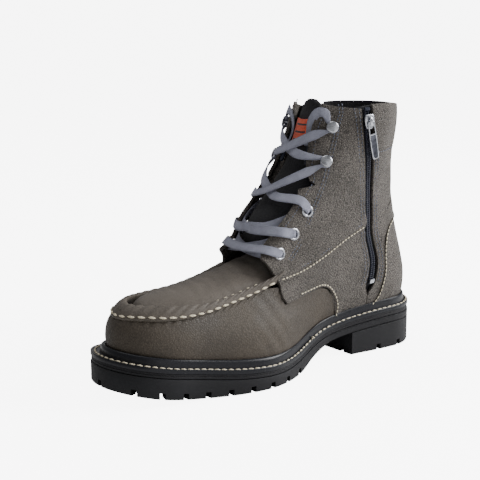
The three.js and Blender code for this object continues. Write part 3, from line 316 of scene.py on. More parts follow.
def rimmed(places, axis, round_mm):
    """Three more lines of places at each end of an axis, close to the edge."""
    p = np.moveaxis(places, axis, 0)
    span = lambda i, j: np.linalg.norm(skin(p[i, :, 0], p[i, :, 1]) - skin(p[j, :, 0], p[j, :, 1]), axis=-1)
    share = lambda i, j: np.minimum(round_mm / np.maximum(span(i, j), 1e-6), 0.45)[:, None]
    first = [p[0] + (p[1] - p[0]) * share(0, 1) * k for k in RIM_STEPS]
    last = [p[-1] + (p[-2] - p[-1]) * share(-1, -2) * k for k in RIM_STEPS[::-1]]
    return np.moveaxis(np.concatenate([first, p[1:-1], last]), 0, axis)


def panel(name, at, columns, rows, out=0.0, inn=-LEATHER, round_mm=0.7, relief=None):
    """A sheet on the upper: place at(s, r) lifted by out and relief, its cut edges rounded over round_mm."""
    s, r = np.meshgrid(np.linspace(0, 1, columns + 1), np.linspace(0, 1, rows + 1), indexing="ij")
    p = np.concatenate([at(s, r), s[..., None], r[..., None]], -1)
    p = rimmed(rimmed(p, 0, round_mm), 1, round_mm)
    depth = lambda n: np.concatenate([RIM_DROPS, np.zeros(n - 8), RIM_DROPS[::-1]])
    drop = np.maximum(depth(p.shape[0])[:, None], depth(p.shape[1])[None, :])
    a, h, s, r = np.moveaxis(p, -1, 0)
    lift = out(a, h, s, r) if callable(out) else np.full_like(a, out)
    if relief is not None:
        lift = lift + relief(a, h, s, r) * (1 - drop)
    outer = on_skin(a, h, lift - drop * round_mm)
    inner = on_skin(a, h, inn(a, h, s, r) if callable(inn) else np.full_like(a, inn))
    return shell(name, outer, inner, p[..., 2:])


def carried(name, section, count, closed=True, uv=None):
    """A section (points for an array of angles) carried round the boot."""
    angle = np.linspace(0, TURN, count, endpoint=False)
    return grid(name, section(angle), wrap_rows=closed, wrap_columns=True, uv=uv)


def frames_along(points, up):
    """Unit tangent, side and up along a line of points, up kept as near as it can be to the one given."""
    tangent = unit(np.gradient(points, axis=0))
    side = unit(np.cross(tangent, up))
    return tangent, side, np.cross(side, tangent)


def bead(sides, rings):
    """A stitch of unit length and radius: rings of a round section that swells from a point and back."""
    t = np.linspace(0, 1, rings)
    swell = np.sqrt(np.sin(np.pi * np.clip(t, 0.02, 0.98)))
    ring = np.linspace(0, TURN, sides, endpoint=False)
    x = np.repeat(t - 0.5, sides)
    y = (swell[:, None] * np.cos(ring)).ravel()
    z = (swell[:, None] * np.sin(ring)).ravel()
    faces = [list(q) for q in grid_faces(rings, sides, wrap_columns=True)]
    faces += [list(range(sides)), list(range((rings - 1) * sides, rings * sides))]
    return np.stack([x, y, z], -1), faces


def stitches(name, rows, sides=6, rings=5):
    """Separate stitches: rows of (centres, directions, ups, length, width, height) placed as copies of one bead."""
    unit_points, unit_faces = bead(sides, rings)
    points, faces, start = [], [], 0
    for centres, along, up, length, width, high in rows:
        side = unit(np.cross(along, up))
        up = np.cross(side, along)
        p = (centres[:, None] + unit_points[None, :, :1] * along[:, None] * length
             + unit_points[None, :, 1:2] * side[:, None] * width / 2
             + unit_points[None, :, 2:] * up[:, None] * high / 2)
        points.append(p.reshape(-1, 3))
        for k in range(len(centres)):
            faces += [[v + start + k * len(unit_points) for v in f] for f in unit_faces]
        start += len(centres) * len(unit_points)
    return make(name, np.concatenate(points), faces)


WELT_PITCH = 5.4                      # from one welt stitch to the next


def evenly(run, pitch):
    """Places in the middle of even steps nearest pitch along a run, the step, and a sampler there."""
    count = max(2, int(run[-1] / pitch))
    at = (np.arange(count) + 0.5) * run[-1] / count
    return at, run[-1] / count, lambda v: np.stack([np.interp(at, run, v[:, k]) for k in range(3)], -1)


def stitch_row(edge, pitch, out, length=0.72, width=0.9, high=0.8, start=0.0, end=1.0, shift=0.0, slant=0.0):
    """Stitches every pitch along a line of places, shift millimetres to its side, out above the leather."""
    s = np.linspace(start, end, 600)
    places = edge(s)
    a, h = places[:, 0], places[:, 1]
    n = skin_normal(a, h)
    lift = out(a, h) if callable(out) else np.full_like(a, out)
    p = skin(a, h) + n * lift[:, None]
    tangent, side, _ = frames_along(p, n)
    p = p + side * shift
    run = run_length(p)
    at, step, pick = evenly(run, pitch)
    along, up_at = unit(pick(tangent)), unit(pick(n))
    along = unit(along + np.cross(along, up_at) * slant)
    return pick(p), along, up_at, step * length, width, high




# ---------------------------------------------------------------- node groups and materials
def new_group(name, inputs, outputs):
    """A shader node group with named sockets; returns it with its input and output nodes."""
    tree = bpy.data.node_groups.new(name, "ShaderNodeTree")
    for label, kind, value in inputs:
        socket = tree.interface.new_socket(label, in_out="INPUT", socket_type=kind)
        socket.default_value = value
    for label, kind in outputs:
        tree.interface.new_socket(label, in_out="OUTPUT", socket_type=kind)
    return tree, tree.nodes.new("NodeGroupInput"), tree.nodes.new("NodeGroupOutput")


def node(tree, kind, **values):
    """A node with its settings and unlinked inputs given by name."""
    made = tree.nodes.new(kind)
    for key, value in values.items():
        label = key.replace("_", " ")
        if hasattr(made, key):
            setattr(made, key, value)
        else:
            made.inputs[label].default_value = value
    return made


def maths(tree, operation, a, b=0.5, clamp=False):
    """A math node on sockets or numbers."""
    made = tree.nodes.new("ShaderNodeMath")
    made.operation, made.use_clamp = operation, clamp
    for k, value in enumerate((a, b)):
        if hasattr(value, "is_output"):
            tree.links.new(value, made.inputs[k])
        else:
            made.inputs[k].default_value = value
    return made.outputs[0]


def blend_colours(tree, share, a, b):
    """Colour a turning into b as share goes from 0 to 1."""
    made = tree.nodes.new("ShaderNodeMix")
    made.data_type = "RGBA"
    for socket, value in ((made.inputs[0], share), (made.inputs[6], a), (made.inputs[7], b)):
        if hasattr(value, "is_output"):
            tree.links.new(value, socket)
        else:
            socket.default_value = value
    return made.outputs[2]


def noise(tree, vector, scale, detail=3.0, roughness=0.55):
    """Noise at the vector, as a value."""
    made = node(tree, "ShaderNodeTexNoise", Scale=scale, Detail=detail, Roughness=roughness)
    tree.links.new(vector, made.inputs["Vector"])
    return made.outputs[0]


def fit(tree, value, low, high, to_low=0.0, to_high=1.0):
    """A value mapped from one range to another."""
    made = node(tree, "ShaderNodeMapRange", From_Min=low, From_Max=high, To_Min=to_low, To_Max=to_high)
    tree.links.new(value, made.inputs[0])
    return made.outputs[0]


def grain_group():
    """Pebbled leather: rounded cells parted by creases, with size and depth changing slowly."""
    tree, inn, out = new_group("Leather grain", [
        ("Vector", "NodeSocketVector", (0, 0, 0)), ("Pebbles per metre", "NodeSocketFloat", 700.0),
        ("Pebble height", "NodeSocketFloat", 1.0), ("Fine height", "NodeSocketFloat", 0.3)],
        [("Height", "NodeSocketFloat"), ("Crease", "NodeSocketFloat"), ("Cloud", "NodeSocketFloat")])
    vector = inn.outputs["Vector"]
    warp = node(tree, "ShaderNodeTexNoise", Scale=260.0, Detail=2.0)
    tree.links.new(vector, warp.inputs["Vector"])
    push = node(tree, "ShaderNodeVectorMath", operation="MULTIPLY_ADD")
    tree.links.new(warp.outputs["Color"], push.inputs[0])
    push.inputs[1].default_value = (0.0022,) * 3
    tree.links.new(vector, push.inputs[2])
    cells = node(tree, "ShaderNodeTexVoronoi", feature="DISTANCE_TO_EDGE")
    tree.links.new(push.outputs[0], cells.inputs["Vector"])
    tree.links.new(inn.outputs["Pebbles per metre"], cells.inputs["Scale"])
    pebble = fit(tree, cells.outputs["Distance"], 0.0, 0.32)
    crease = maths(tree, "SUBTRACT", 1.0, fit(tree, cells.outputs["Distance"], 0.01, 0.13), True)
    cloud = fit(tree, noise(tree, vector, 38.0, 4.0), 0.32, 0.7)
    fine = noise(tree, vector, 2600.0, 3.0)
    high = maths(tree, "MULTIPLY", pebble, inn.outputs["Pebble height"])
    low = maths(tree, "MULTIPLY", fine, inn.outputs["Fine height"])
    tree.links.new(maths(tree, "ADD", high, low), out.inputs["Height"])
    tree.links.new(crease, out.inputs["Crease"])
    tree.links.new(cloud, out.inputs["Cloud"])
    return tree


def weave_group():
    """Woven threads from a surface's own map: warp and weft waves that cross, each thread a ridge."""
    tree, inn, out = new_group("Weave", [
        ("Vector", "NodeSocketVector", (0, 0, 0)), ("Threads along", "NodeSocketFloat", 60.0),
        ("Threads across", "NodeSocketFloat", 12.0)],
        [("Height", "NodeSocketFloat"), ("Thread", "NodeSocketFloat")])
    parts = node(tree, "ShaderNodeSeparateXYZ")
    tree.links.new(inn.outputs["Vector"], parts.inputs[0])
    wave = lambda axis, count: maths(tree, "SINE", maths(tree, "MULTIPLY", maths(
        tree, "MULTIPLY", parts.outputs[axis], inn.outputs[count]), TURN))
    along, across = wave("X", "Threads along"), wave("Y", "Threads across")
    crossed = maths(tree, "MULTIPLY", along, across)
    ridge = maths(tree, "ABSOLUTE", across)
    high = maths(tree, "ADD", maths(tree, "MULTIPLY", crossed, 0.5), ridge)
    tree.links.new(high, out.inputs["Height"])
    tree.links.new(fit(tree, crossed, -0.6, 0.6), out.inputs["Thread"])
    return tree


def dust_group():
    """Handling marks: broad soft patches crossed by thin scuffs."""
    tree, inn, out = new_group("Scuffs", [
        ("Vector", "NodeSocketVector", (0, 0, 0)), ("Amount", "NodeSocketFloat", 0.5)],
        [("Mask", "NodeSocketFloat")])
    patches = fit(tree, noise(tree, inn.outputs["Vector"], 24.0, 5.0, 0.65), 0.45, 0.75)
    streak = node(tree, "ShaderNodeMapping")
    tree.links.new(inn.outputs["Vector"], streak.inputs["Vector"])
    streak.inputs["Scale"].default_value = (900, 220, 600)
    scuff = fit(tree, noise(tree, streak.outputs[0], 1.0, 3.0), 0.6, 0.72)
    both = maths(tree, "MULTIPLY", maths(tree, "ADD", patches, maths(tree, "MULTIPLY", scuff, 0.5)), inn.outputs["Amount"])
    tree.links.new(both, out.inputs["Mask"])
    return tree


GROUPS = {}


def placed_group(tree, maker, vector, **values):
    """A node group, made on first use, placed in this tree."""
    if maker not in GROUPS:
        GROUPS[maker] = maker()
    made = tree.nodes.new("ShaderNodeGroup")
    made.node_tree = GROUPS[maker]
    tree.links.new(vector, made.inputs["Vector"])
    for key, value in values.items():
        made.inputs[key.replace("_", " ")].default_value = value
    return made.outputs


def material(name, coordinates="Object", **shader_values):
    """A new material: its tree, its shader and the coordinates that its patterns read."""
    made = bpy.data.materials.new(name)
    made.use_nodes = True
    tree = made.node_tree
    shader = tree.nodes["Principled BSDF"]
    for key, value in shader_values.items():
        shader.inputs[key.replace("_", " ")].default_value = value
    where = node(tree, "ShaderNodeTexCoord")
    return made, tree, shader, where.outputs[coordinates]


def bump(tree, shader, height, distance_mm, strength=1.0):
    """A height that tilts the shader's normal."""
    made = node(tree, "ShaderNodeBump", Strength=strength, Distance=distance_mm * MM)
    tree.links.new(height, made.inputs["Height"])
    tree.links.new(made.outputs[0], shader.inputs["Normal"])


def leather(name, tones, pebbles, pebble_height, fine_height, depth_mm, scuffs, roughness):
    """Leather from three tones: painted shade darkens the creases, a cloudy middle, and the lighter tone paints
    highlights on the pebbles and rubbed patches.
    """
    made, tree, shader, where = material(name, Sheen_Weight=0.04, Sheen_Roughness=0.5)
    shader.inputs["Specular IOR Level"].default_value = 0.35
    dark, middle, light = tones
    grain = placed_group(tree, grain_group, where, Pebbles_per_metre=pebbles,
                         Pebble_height=pebble_height, Fine_height=fine_height)
    mask = placed_group(tree, dust_group, where, Amount=scuffs)["Mask"]
    body = blend_colours(tree, grain["Cloud"], middle, light)
    # Painted highlight: a fine lighter speckle at about the pebbles' spacing.
    speckle = fit(tree, noise(tree, where, 620.0, 2.0), 0.46, 0.64)
    body = blend_colours(tree, maths(tree, "MULTIPLY", speckle, 0.6 * pebble_height), body, light)
    body = blend_colours(tree, mask, body, light)
    # Painted shade: the creases between the pebbles are darkened toward the dark tone.
    share = maths(tree, "MULTIPLY", grain["Crease"], 0.95 * pebble_height, True)
    tree.links.new(blend_colours(tree, share, body, dark), shader.inputs["Base Color"])
    rough = maths(tree, "ADD", maths(tree, "MULTIPLY", grain["Cloud"], 0.14), roughness)
    tree.links.new(maths(tree, "ADD", rough, maths(tree, "MULTIPLY", grain["Crease"], 0.12)), shader.inputs["Roughness"])
    bump(tree, shader, grain["Height"], depth_mm)
    return made


def rubber(name, tone, light, roughness, depth_mm):
    """Moulded rubber: fine texture, faint dust and a low gloss."""
    made, tree, shader, where = material(name)
    shader.inputs["Specular IOR Level"].default_value = 0.3
    mask = placed_group(tree, dust_group, where, Amount=0.35)["Mask"]
    tree.links.new(blend_colours(tree, mask, tone, light), shader.inputs["Base Color"])
    fine = noise(tree, where, 1500.0, 4.0, 0.6)
    tree.links.new(fit(tree, fine, 0.3, 0.7, roughness - 0.06, roughness + 0.1), shader.inputs["Roughness"])
    bump(tree, shader, fine, depth_mm)
    return made


def thread(name, tone, dark, twists=1400.0):
    """Twisted thread: dark lines between its plies and a waxy sheen."""
    made, tree, shader, where = material(name, Sheen_Weight=0.1)
    plies = node(tree, "ShaderNodeTexWave", Scale=twists / 6, Distortion=1.5, bands_direction="DIAGONAL")
    tree.links.new(where, plies.inputs["Vector"])
    shade = fit(tree, noise(tree, where, 420.0), 0.35, 0.7)
    body = blend_colours(tree, maths(tree, "MULTIPLY", plies.outputs["Fac"], 0.4), tone, dark)
    tree.links.new(blend_colours(tree, maths(tree, "MULTIPLY", shade, 0.35), body, dark), shader.inputs["Base Color"])
    tree.links.new(fit(tree, plies.outputs["Fac"], 0, 1, 0.55, 0.8), shader.inputs["Roughness"])
    bump(tree, shader, plies.outputs["Fac"], 0.12)
    return made


def woven(name, tone, light, along, across, depth_mm, roughness=0.85, coordinates="UV", sheen=0.12):
    """Woven cloth: each thread's crossing tinted and raised, with a fuzzy sheen."""
    made, tree, shader, where = material(name, coordinates, Sheen_Weight=sheen, Sheen_Roughness=0.4)
    cloth = placed_group(tree, weave_group, where, Threads_along=along, Threads_across=across)
    space = node(tree, "ShaderNodeTexCoord").outputs["Object"]
    worn = fit(tree, noise(tree, space, 180.0, 4.0), 0.35, 0.7)
    body = blend_colours(tree, cloth["Thread"], tone, light)
    tree.links.new(blend_colours(tree, maths(tree, "MULTIPLY", worn, 0.45), body, tone), shader.inputs["Base Color"])
    tree.links.new(fit(tree, worn, 0, 1, roughness - 0.05, roughness + 0.08), shader.inputs["Roughness"])
    bump(tree, shader, cloth["Height"], depth_mm)
    return made


def mesh_cloth(name, tone, light, per_metre, depth_mm, roughness=0.9):
    """Spacer mesh and lining cloth: small round cells, lighter at their rims."""
    made, tree, shader, where = material(name, Sheen_Weight=0.05, Sheen_Roughness=0.5)
    cells = node(tree, "ShaderNodeTexVoronoi", Scale=per_metre)
    tree.links.new(where, cells.inputs["Vector"])
    rim = fit(tree, cells.outputs["Distance"], 0.15, 0.6)
    tree.links.new(blend_colours(tree, rim, tone, light), shader.inputs["Base Color"])
    tree.links.new(fit(tree, rim, 0, 1, roughness - 0.1, roughness + 0.05), shader.inputs["Roughness"])
    bump(tree, shader, rim, depth_mm)
    return made


def metal(name, tone, dark, roughness, brushed=(60, 60, 1600)):
    """Plated metal: fine drawn lines, and darker where plating dulls."""
    made, tree, shader, where = material(name, Metallic=1.0)
    drawn = node(tree, "ShaderNodeMapping")
    drawn.inputs["Scale"].default_value = brushed
    tree.links.new(where, drawn.inputs["Vector"])
    lines = noise(tree, drawn.outputs[0], 1.0, 3.0)
    dull = fit(tree, noise(tree, where, 300.0, 4.0), 0.4, 0.75)
    tree.links.new(blend_colours(tree, maths(tree, "MULTIPLY", dull, 0.6), tone, dark), shader.inputs["Base Color"])
    tree.links.new(fit(tree, lines, 0.3, 0.7, roughness - 0.08, roughness + 0.14), shader.inputs["Roughness"])
    bump(tree, shader, lines, 0.02)
    return made


def board(name, tone, dark, per_metre):
    """Pressed board or cork: crumbs of two tones."""
    made, tree, shader, where = material(name)
    crumbs = node(tree, "ShaderNodeTexVoronoi", Scale=per_metre)
    tree.links.new(where, crumbs.inputs["Vector"])
    mix = fit(tree, noise(tree, where, per_metre, 4.0), 0.35, 0.65)
    tree.links.new(blend_colours(tree, mix, tone, dark), shader.inputs["Base Color"])
    tree.links.new(fit(tree, crumbs.outputs["Distance"], 0, 1, 0.75, 0.95), shader.inputs["Roughness"])
    bump(tree, shader, crumbs.outputs["Distance"], 0.15)
    return made


def label_cloth(name, tone, dark):
    """Woven label: a coloured field with plain dark woven bars and no lettering."""
    made, tree, shader, where = material(name, "UV", Sheen_Weight=0.3)
    cloth = placed_group(tree, weave_group, where, Threads_along=40.0, Threads_across=30.0)
    parts = node(tree, "ShaderNodeSeparateXYZ")
    tree.links.new(where, parts.inputs[0])
    bars = maths(tree, "SINE", maths(tree, "MULTIPLY", parts.outputs["Y"], TURN * 3))
    inside = maths(tree, "LESS_THAN", maths(tree, "ABSOLUTE", maths(tree, "SUBTRACT", parts.outputs["X"], 0.5)), 0.36)
    pattern = maths(tree, "MULTIPLY", maths(tree, "GREATER_THAN", bars, 0.72), inside)
    body = blend_colours(tree, pattern, tone, dark)
    tree.links.new(blend_colours(tree, maths(tree, "MULTIPLY", cloth["Thread"], 0.3), body, dark), shader.inputs["Base Color"])
    tree.links.new(fit(tree, cloth["Thread"], 0, 1, 0.7, 0.9), shader.inputs["Roughness"])
    bump(tree, shader, cloth["Height"], 0.08)
    return made

# ---------------------------------------------------------------- seams, as side-view points
MOC_INNER = [(-15.8, 72), (-32.5, 67.6), (-56.8, 63.3), (-85, 60.1), (-109, 59.8), (-124, 60.6)]
MOC_OUTER = [(-15.8, 70), (-32.5, 66.5), (-56.8, 61.5), (-85, 58.4), (-109, 58), (-124, 59.6)]
MOC_TOE_HEIGHT, RIB_HEIGHT = 28, 8
LAP = [(56, 28), (55.2, 43), (49.5, 53.6), (42, 60.5), (34.4, 62.9), (21, 61.6), (8.3, 59.7), (-6.4, 57)]
LAP_FRONT = [(-6.4, 57), (-9.2, 64.5), (-10, 70)]
CREAM = [(-10, 71.5), (10.9, 76.1), (36.8, 85.9), (57.8, 96), (78.5, 104)]
STAY = [(-10, 71.5), (-14.1, 82.7), (-20.2, 91.4), (-4, 111.4), (9.4, 124.6), (17.2, 133.2), (20.5, 140.2),
        (34.6, 140.6), (29.6, 146.5), (31.3, 157.7), (35.5, 169.5), (41.5, 187.7), (49.5, 203.8)]
ZIP_LINE = [(88.3, 54), (91.6, 65.8), (92.6, 75.7), (89.6, 88), (86.2, 98), (84.4, 110), (83.6, 127), (81.6, 151), (78, 201)]
COUNTER_EDGE = [(88.5, 34.4), (98, 44), (102.7, 56.4), (105.2, 68), (105.8, 82.6), (107.8, 93.9), (111.3, 100.7), (121, 106.5)]
REAR_SEAM = [(88.9, 105), (103, 112), (118.5, 121)]
STAY_LINING = [(10, 78), (14, 94), (27, 110), (38, 124), (48, 142), (54, 170), (63, 200)]
COLLAR_Z, TOP_Z, CREAM_AT_ZIP = 166, 205, 104
COLLAR_DIP = 6.0            # the collar's top at the back, below its sides
EYELETS = [(-5, 93.8), (9.7, 107.2), (23.2, 123.8)]
HOOKS = [(43.8, 159.4), (52.5, 185.6)]

MOC = np.array([place(*p, 1) for p in MOC_INNER] + [(np.pi, MOC_TOE_HEIGHT)]
               + [place(*p, -1, True) for p in MOC_OUTER[::-1]])
MOC_START, MOC_END = MOC[0, 0], MOC[-1, 0]


def moc_height(angle):
    """Height of the moc seam at an angle."""
    return smooth(MOC[:, 0], MOC[:, 1], angle)


def zip_side(shift):
    """The zipper's line moved forward (-) or back (+) over the leather."""
    p = np.array(ZIP_LINE, float)
    d = unit(np.concatenate([p[1:2] - p[:1], p[2:] - p[:-2], p[-1:] - p[-2:-1]]))
    return p + shift * np.stack([d[:, 1], -d[:, 0]], -1)


ZIP_FRONT, ZIP_REAR = zip_side(-4.5), zip_side(4.5)


# ---------------------------------------------------------------- sole
def sole_edge(angle, inset=0.0):
    """A point on the sole's edge, drawn inward along the edge's own normal."""
    x, y = on_outline(sole_rows(angle), angle)
    p = np.stack(on_outline(sole_rows(angle), angle - 0.01), -1)
    q = np.stack(on_outline(sole_rows(angle), angle + 0.01), -1)
    d = unit(q - p)
    return np.stack([x + d[..., 1] * inset, y - d[..., 0] * inset], -1)


def sole_angle(y):
    """Angle at which the sole's edge is at y, by arc cosine of its share of the length."""
    return np.arccos(1 - 2 * np.clip((152 - np.asarray(y, float)) / 304, 0, 1))


def notched(centres, gap, spread=0.4):
    """Angles round the edge with extra ones at each notch's walls, and 1 inside a notch, 0 outside."""
    walls = []
    for c in centres:
        speed = np.linalg.norm(sole_edge(np.array(c + 0.005)) - sole_edge(np.array(c - 0.005))) / 0.01
        for reach in (gap / 2, gap / 2 + spread):
            walls += [c - reach / speed, c + reach / speed]
    angle = np.unique(np.round(np.concatenate([np.linspace(0, TURN, 420, endpoint=False), np.mod(walls, TURN)]), 6))
    inside = np.zeros_like(angle)
    for c in centres:
        speed = np.linalg.norm(sole_edge(np.array(c + 0.005)) - sole_edge(np.array(c - 0.005))) / 0.01
        off = np.abs((angle - c + np.pi) % TURN - np.pi) * speed
        inside = np.maximum(inside, 1 - np.clip((off - gap / 2) / spread, 0, 1))
    return angle, inside


def outsole_points(angle, inside, blocks, depth, reach):
    """Sections from the sole's spine over its top, down its wall, round its lugs and back to the spine."""
    edge = sole_edge(angle)
    share = (1 - np.cos(angle)) / 2
    spine_y = np.clip(edge[:, 1], -106, 112)
    spine = np.stack([8 * np.clip(share, 0.13, 0.85) ** 2, spine_y], -1)
    inward = unit(spine - edge)
    span = np.linalg.norm(spine - edge, axis=-1)
    rows = []

    def ring(inset, z_of):
        inset = np.minimum(np.broadcast_to(inset, angle.shape), span)
        p = edge + inward * inset[:, None]
        rows.append(np.stack([p[:, 0] - MIDDLE_X, p[:, 1], z_of(p[:, 1])], -1))

    floor = lambda y: tread(y)
    up = lambda k: (lambda y: floor(y) + k)
    ring(span, outsole_top)
    ring(1.2, outsole_top)
    ring(0.25, lambda y: outsole_top(y) - 0.25)
    ring(0.0, lambda y: outsole_top(y) - 0.9)
    ring(0.0, up(depth + 0.5))
    ring(inside * (reach - 0.6), up(depth))
    ring(inside * reach, lambda y: floor(y) + np.maximum(inside * depth, 1.0))
    ring(0.35 + inside * reach, lambda y: floor(y) + np.maximum(inside * depth, 0.3))
    ring(1.1 + inside * reach, lambda y: floor(y) + inside * depth)
    ring(reach + 2.0, lambda y: floor(y) + inside * depth)
    ring(reach + 2.6, up(depth))
    ring(reach + 6.0, up(depth))
    ring(reach + 6.6, lambda y: floor(y) + blocks * depth)
    ring(reach + 12.0, lambda y: floor(y) + blocks * depth)
    ring(span, lambda y: floor(y) + blocks * depth)
    return np.stack(rows, 1)


def build_outsole(depth, gap, count):
    """The tread: rings of the sole's edge, pushed in at even notches along the sides and at the toe."""
    side = sole_angle(np.linspace(2, -140, count))
    centres = np.concatenate([side, TURN - side, [np.pi]])
    angle, inside = notched(centres, gap)
    cross = np.interp(np.cos(angle), [-1, 1], [0, 1])
    blocks = (np.abs(np.sin(cross * np.pi * 9)) < 0.3).astype(float) * (np.cos(angle) < 0.35)
    return sharp(grid("outsole_tread", outsole_points(angle, inside, blocks, depth, 8.0),
                      wrap_rows=True, wrap_columns=True), 30)


def build_heel(depth, gap, count, breast=70.0):
    """The heel: the sole's edge from breast to breast, its lugs notched round, with a flat front."""
    limit = float(sole_angle(breast))
    centres = np.linspace(-limit + 0.22, limit - 0.22, count)
    angle, inside = notched(centres, gap)
    angle = np.where(angle > np.pi, angle - TURN, angle)
    keep = np.abs(angle) < limit
    order = np.argsort(angle[keep])
    angle, inside = angle[keep][order], inside[keep][order]
    ends = np.array([-limit, limit])
    angle = np.concatenate([ends[:1], angle, ends[1:]])
    inside = np.concatenate([[0], inside, [0]])
    edge = sole_edge(angle)
    middle = np.stack([np.full_like(angle, 0.16), np.clip(edge[:, 1], breast, 112)], -1)
    inward, span = unit(middle - edge), np.linalg.norm(middle - edge, axis=-1)
    top = lambda y: np.where(y > 45, outsole_top(y) - OUTSOLE_THICK, 0) - GAP
    rows = []

    def ring(inset, z_of):
        inset = np.minimum(np.broadcast_to(inset, angle.shape), span)
        p = edge + inward * inset[:, None]
        rows.append(np.stack([p[:, 0] - MIDDLE_X, p[:, 1], z_of(p[:, 1])], -1))

    flat = lambda k: (lambda y: 0 * y + k)
    ring(span, top)
    ring(0.8, top)
    ring(0.0, lambda y: top(y) - 0.5)
    ring(0.0, flat(depth + 0.5))
    ring(inside * 7.4, flat(depth))
    ring(inside * 8, lambda y: np.maximum(inside * depth, 1.0))
    ring(0.35 + inside * 8, lambda y: np.maximum(inside * depth, 0.3))
    ring(1.1 + inside * 8, lambda y: inside * depth)
    ring(10.0, lambda y: inside * depth)
    ring(10.6, flat(depth))
    ring(14.0, flat(depth))
    ring(14.6, flat(0.0))
    ring(span, flat(0.0))
    p = np.stack(rows, 1)
    n, m = p.shape[:2]
    faces = grid_faces(n, m, wrap_columns=False)
    front = [[int(v) for v in np.concatenate([np.arange(m), (n - 1) * m + np.arange(m)[::-1]])]]
    obj = make("heel", p.reshape(-1, 3), [list(map(int, f)) for f in faces] + front)
    return sharp(obj, 30)


def welt_plan(angle):
    """The welt from above: its width, its bead's width and a function giving its points."""
    edge = sole_edge(angle, 0.2) - np.array([MIDDLE_X, 0])
    wall = skin(angle, np.full_like(angle, 6.0))[:, :2]
    out = edge - wall
    wide = np.linalg.norm(out, axis=-1)
    out = unit(out)
    bead_wide = np.clip(wide - 3.6, 2, 4.6)

    def point(d, z):
        p = wall + out * np.broadcast_to(d, angle.shape)[:, None]
        return np.stack([p[:, 0], p[:, 1], welt_top(p[:, 1]) + z], -1)
    return wide, bead_wide, point


def welt_section(angle):
    """Flat of the welt out to the edge, and the storm bead rising to lean on the upper."""
    wide, b, point = welt_plan(angle)
    return np.stack([
        point(wide, -3.4), point(wide + 0.15, -2.9), point(wide + 0.15, -0.5), point(wide - 0.3, 0),
        point(wide * 0.5 + b * 0.5 + 1.3, -0.05), point(wide * 0.5 + b * 0.5 + 0.9, -0.5),
        point(wide * 0.5 + b * 0.5 - 0.1, -0.5), point(wide * 0.5 + b * 0.5 - 0.5, -0.05),
        point(b + 0.5, 0), point(b + 0.25, 0.6), point(b + 0.1, 2.0), point(b - 0.15, 3.8), point(b * 0.84, 5.4),
        point(b * 0.62, 6.3), point(b * 0.38, 6.4), point(0.6, 5.6), point(0.2, 4.0), point(-1, 0), point(-5, -3.4)], 1)


def midsole_section(angle):
    """A square-edged layer with a shallow groove along its wall."""
    p = lambda inset, z: np.concatenate([sole_edge(angle, inset), np.zeros((len(angle), 1))], -1) + np.array([-MIDDLE_X, 0, z])
    rows = [p(12, 0), p(1.1, 0), p(0.7, -0.3), p(0.55, -1.2), p(0.9, -1.5), p(0.9, -1.9), p(0.5, -2.2),
            p(0.5, -3.5), p(1.0, -3.8), p(12, -3.8)]
    rows = np.stack(rows, 1)
    rows[..., 2] += welt_top(rows[..., 1]) - WELT_THICK - 0.1
    return rows


# ---------------------------------------------------------------- upper
def vamp_edge():
    """The vamp's upper edge: up the lap, round the moc seam and down the other lap."""
    inner = np.array([place(*p, 1) for p in LAP[1:] + LAP_FRONT[1:]])
    inner[:, 0] += 0.012
    outer = np.stack([TURN - inner[:, 0], inner[:, 1]], -1)[::-1]
    a = np.linspace(MOC_START + 0.03, MOC_END - 0.03, 90)
    top = np.concatenate([inner, np.stack([a, moc_height(a)], -1), outer])
    run = run_length(skin(top[:, 0], top[:, 1]))
    return lambda s: np.stack([np.interp(np.asarray(s) * run[-1], run, top[:, k]) for k in (0, 1)], -1)


def build_vamp():
    """The vamp: a mix, by share of height, of the welt's line and the moc seam's."""
    high = vamp_edge()
    rear = float(place(54.5, welt_top(56) + 1, 1)[0])
    low = line((rear, 0.4), (TURN - rear, 0.4))

    def at(s, r):
        k = r[..., None]
        return low(s) * (1 - k) + high(s) * k

    def relief(a, h, s, r):
        p = skin(a, h)
        puffed = 0.5 * np.sin(np.pi * np.clip(r, 0, 1)) ** 2
        flex = np.exp(-((p[..., 1] + 22) / 16) ** 2) * np.sin(p[..., 1] / 2.1 + p[..., 2] / 3.4) * 0.22
        puckers = (1 - ease(0, 0.16, 1 - r)) * 0.35 * np.cos(moc_run(a) / MOC_PITCH * TURN)
        return ripples(p, 46, 1) * 0.35 + puffed * 0.6 + flex + puckers
    return panel("vamp_leather", at, 300, 44, 0.0, -LEATHER, 0.5, relief)


MOC_PITCH = 7.6
_ma = np.linspace(MOC_START - 0.3, MOC_END + 0.3, 900)
_mr = run_length(skin(_ma, moc_height(_ma)))


def moc_run(angle):
    """Millimetres along the moc seam at an angle."""
    return np.interp(angle, _ma, _mr)


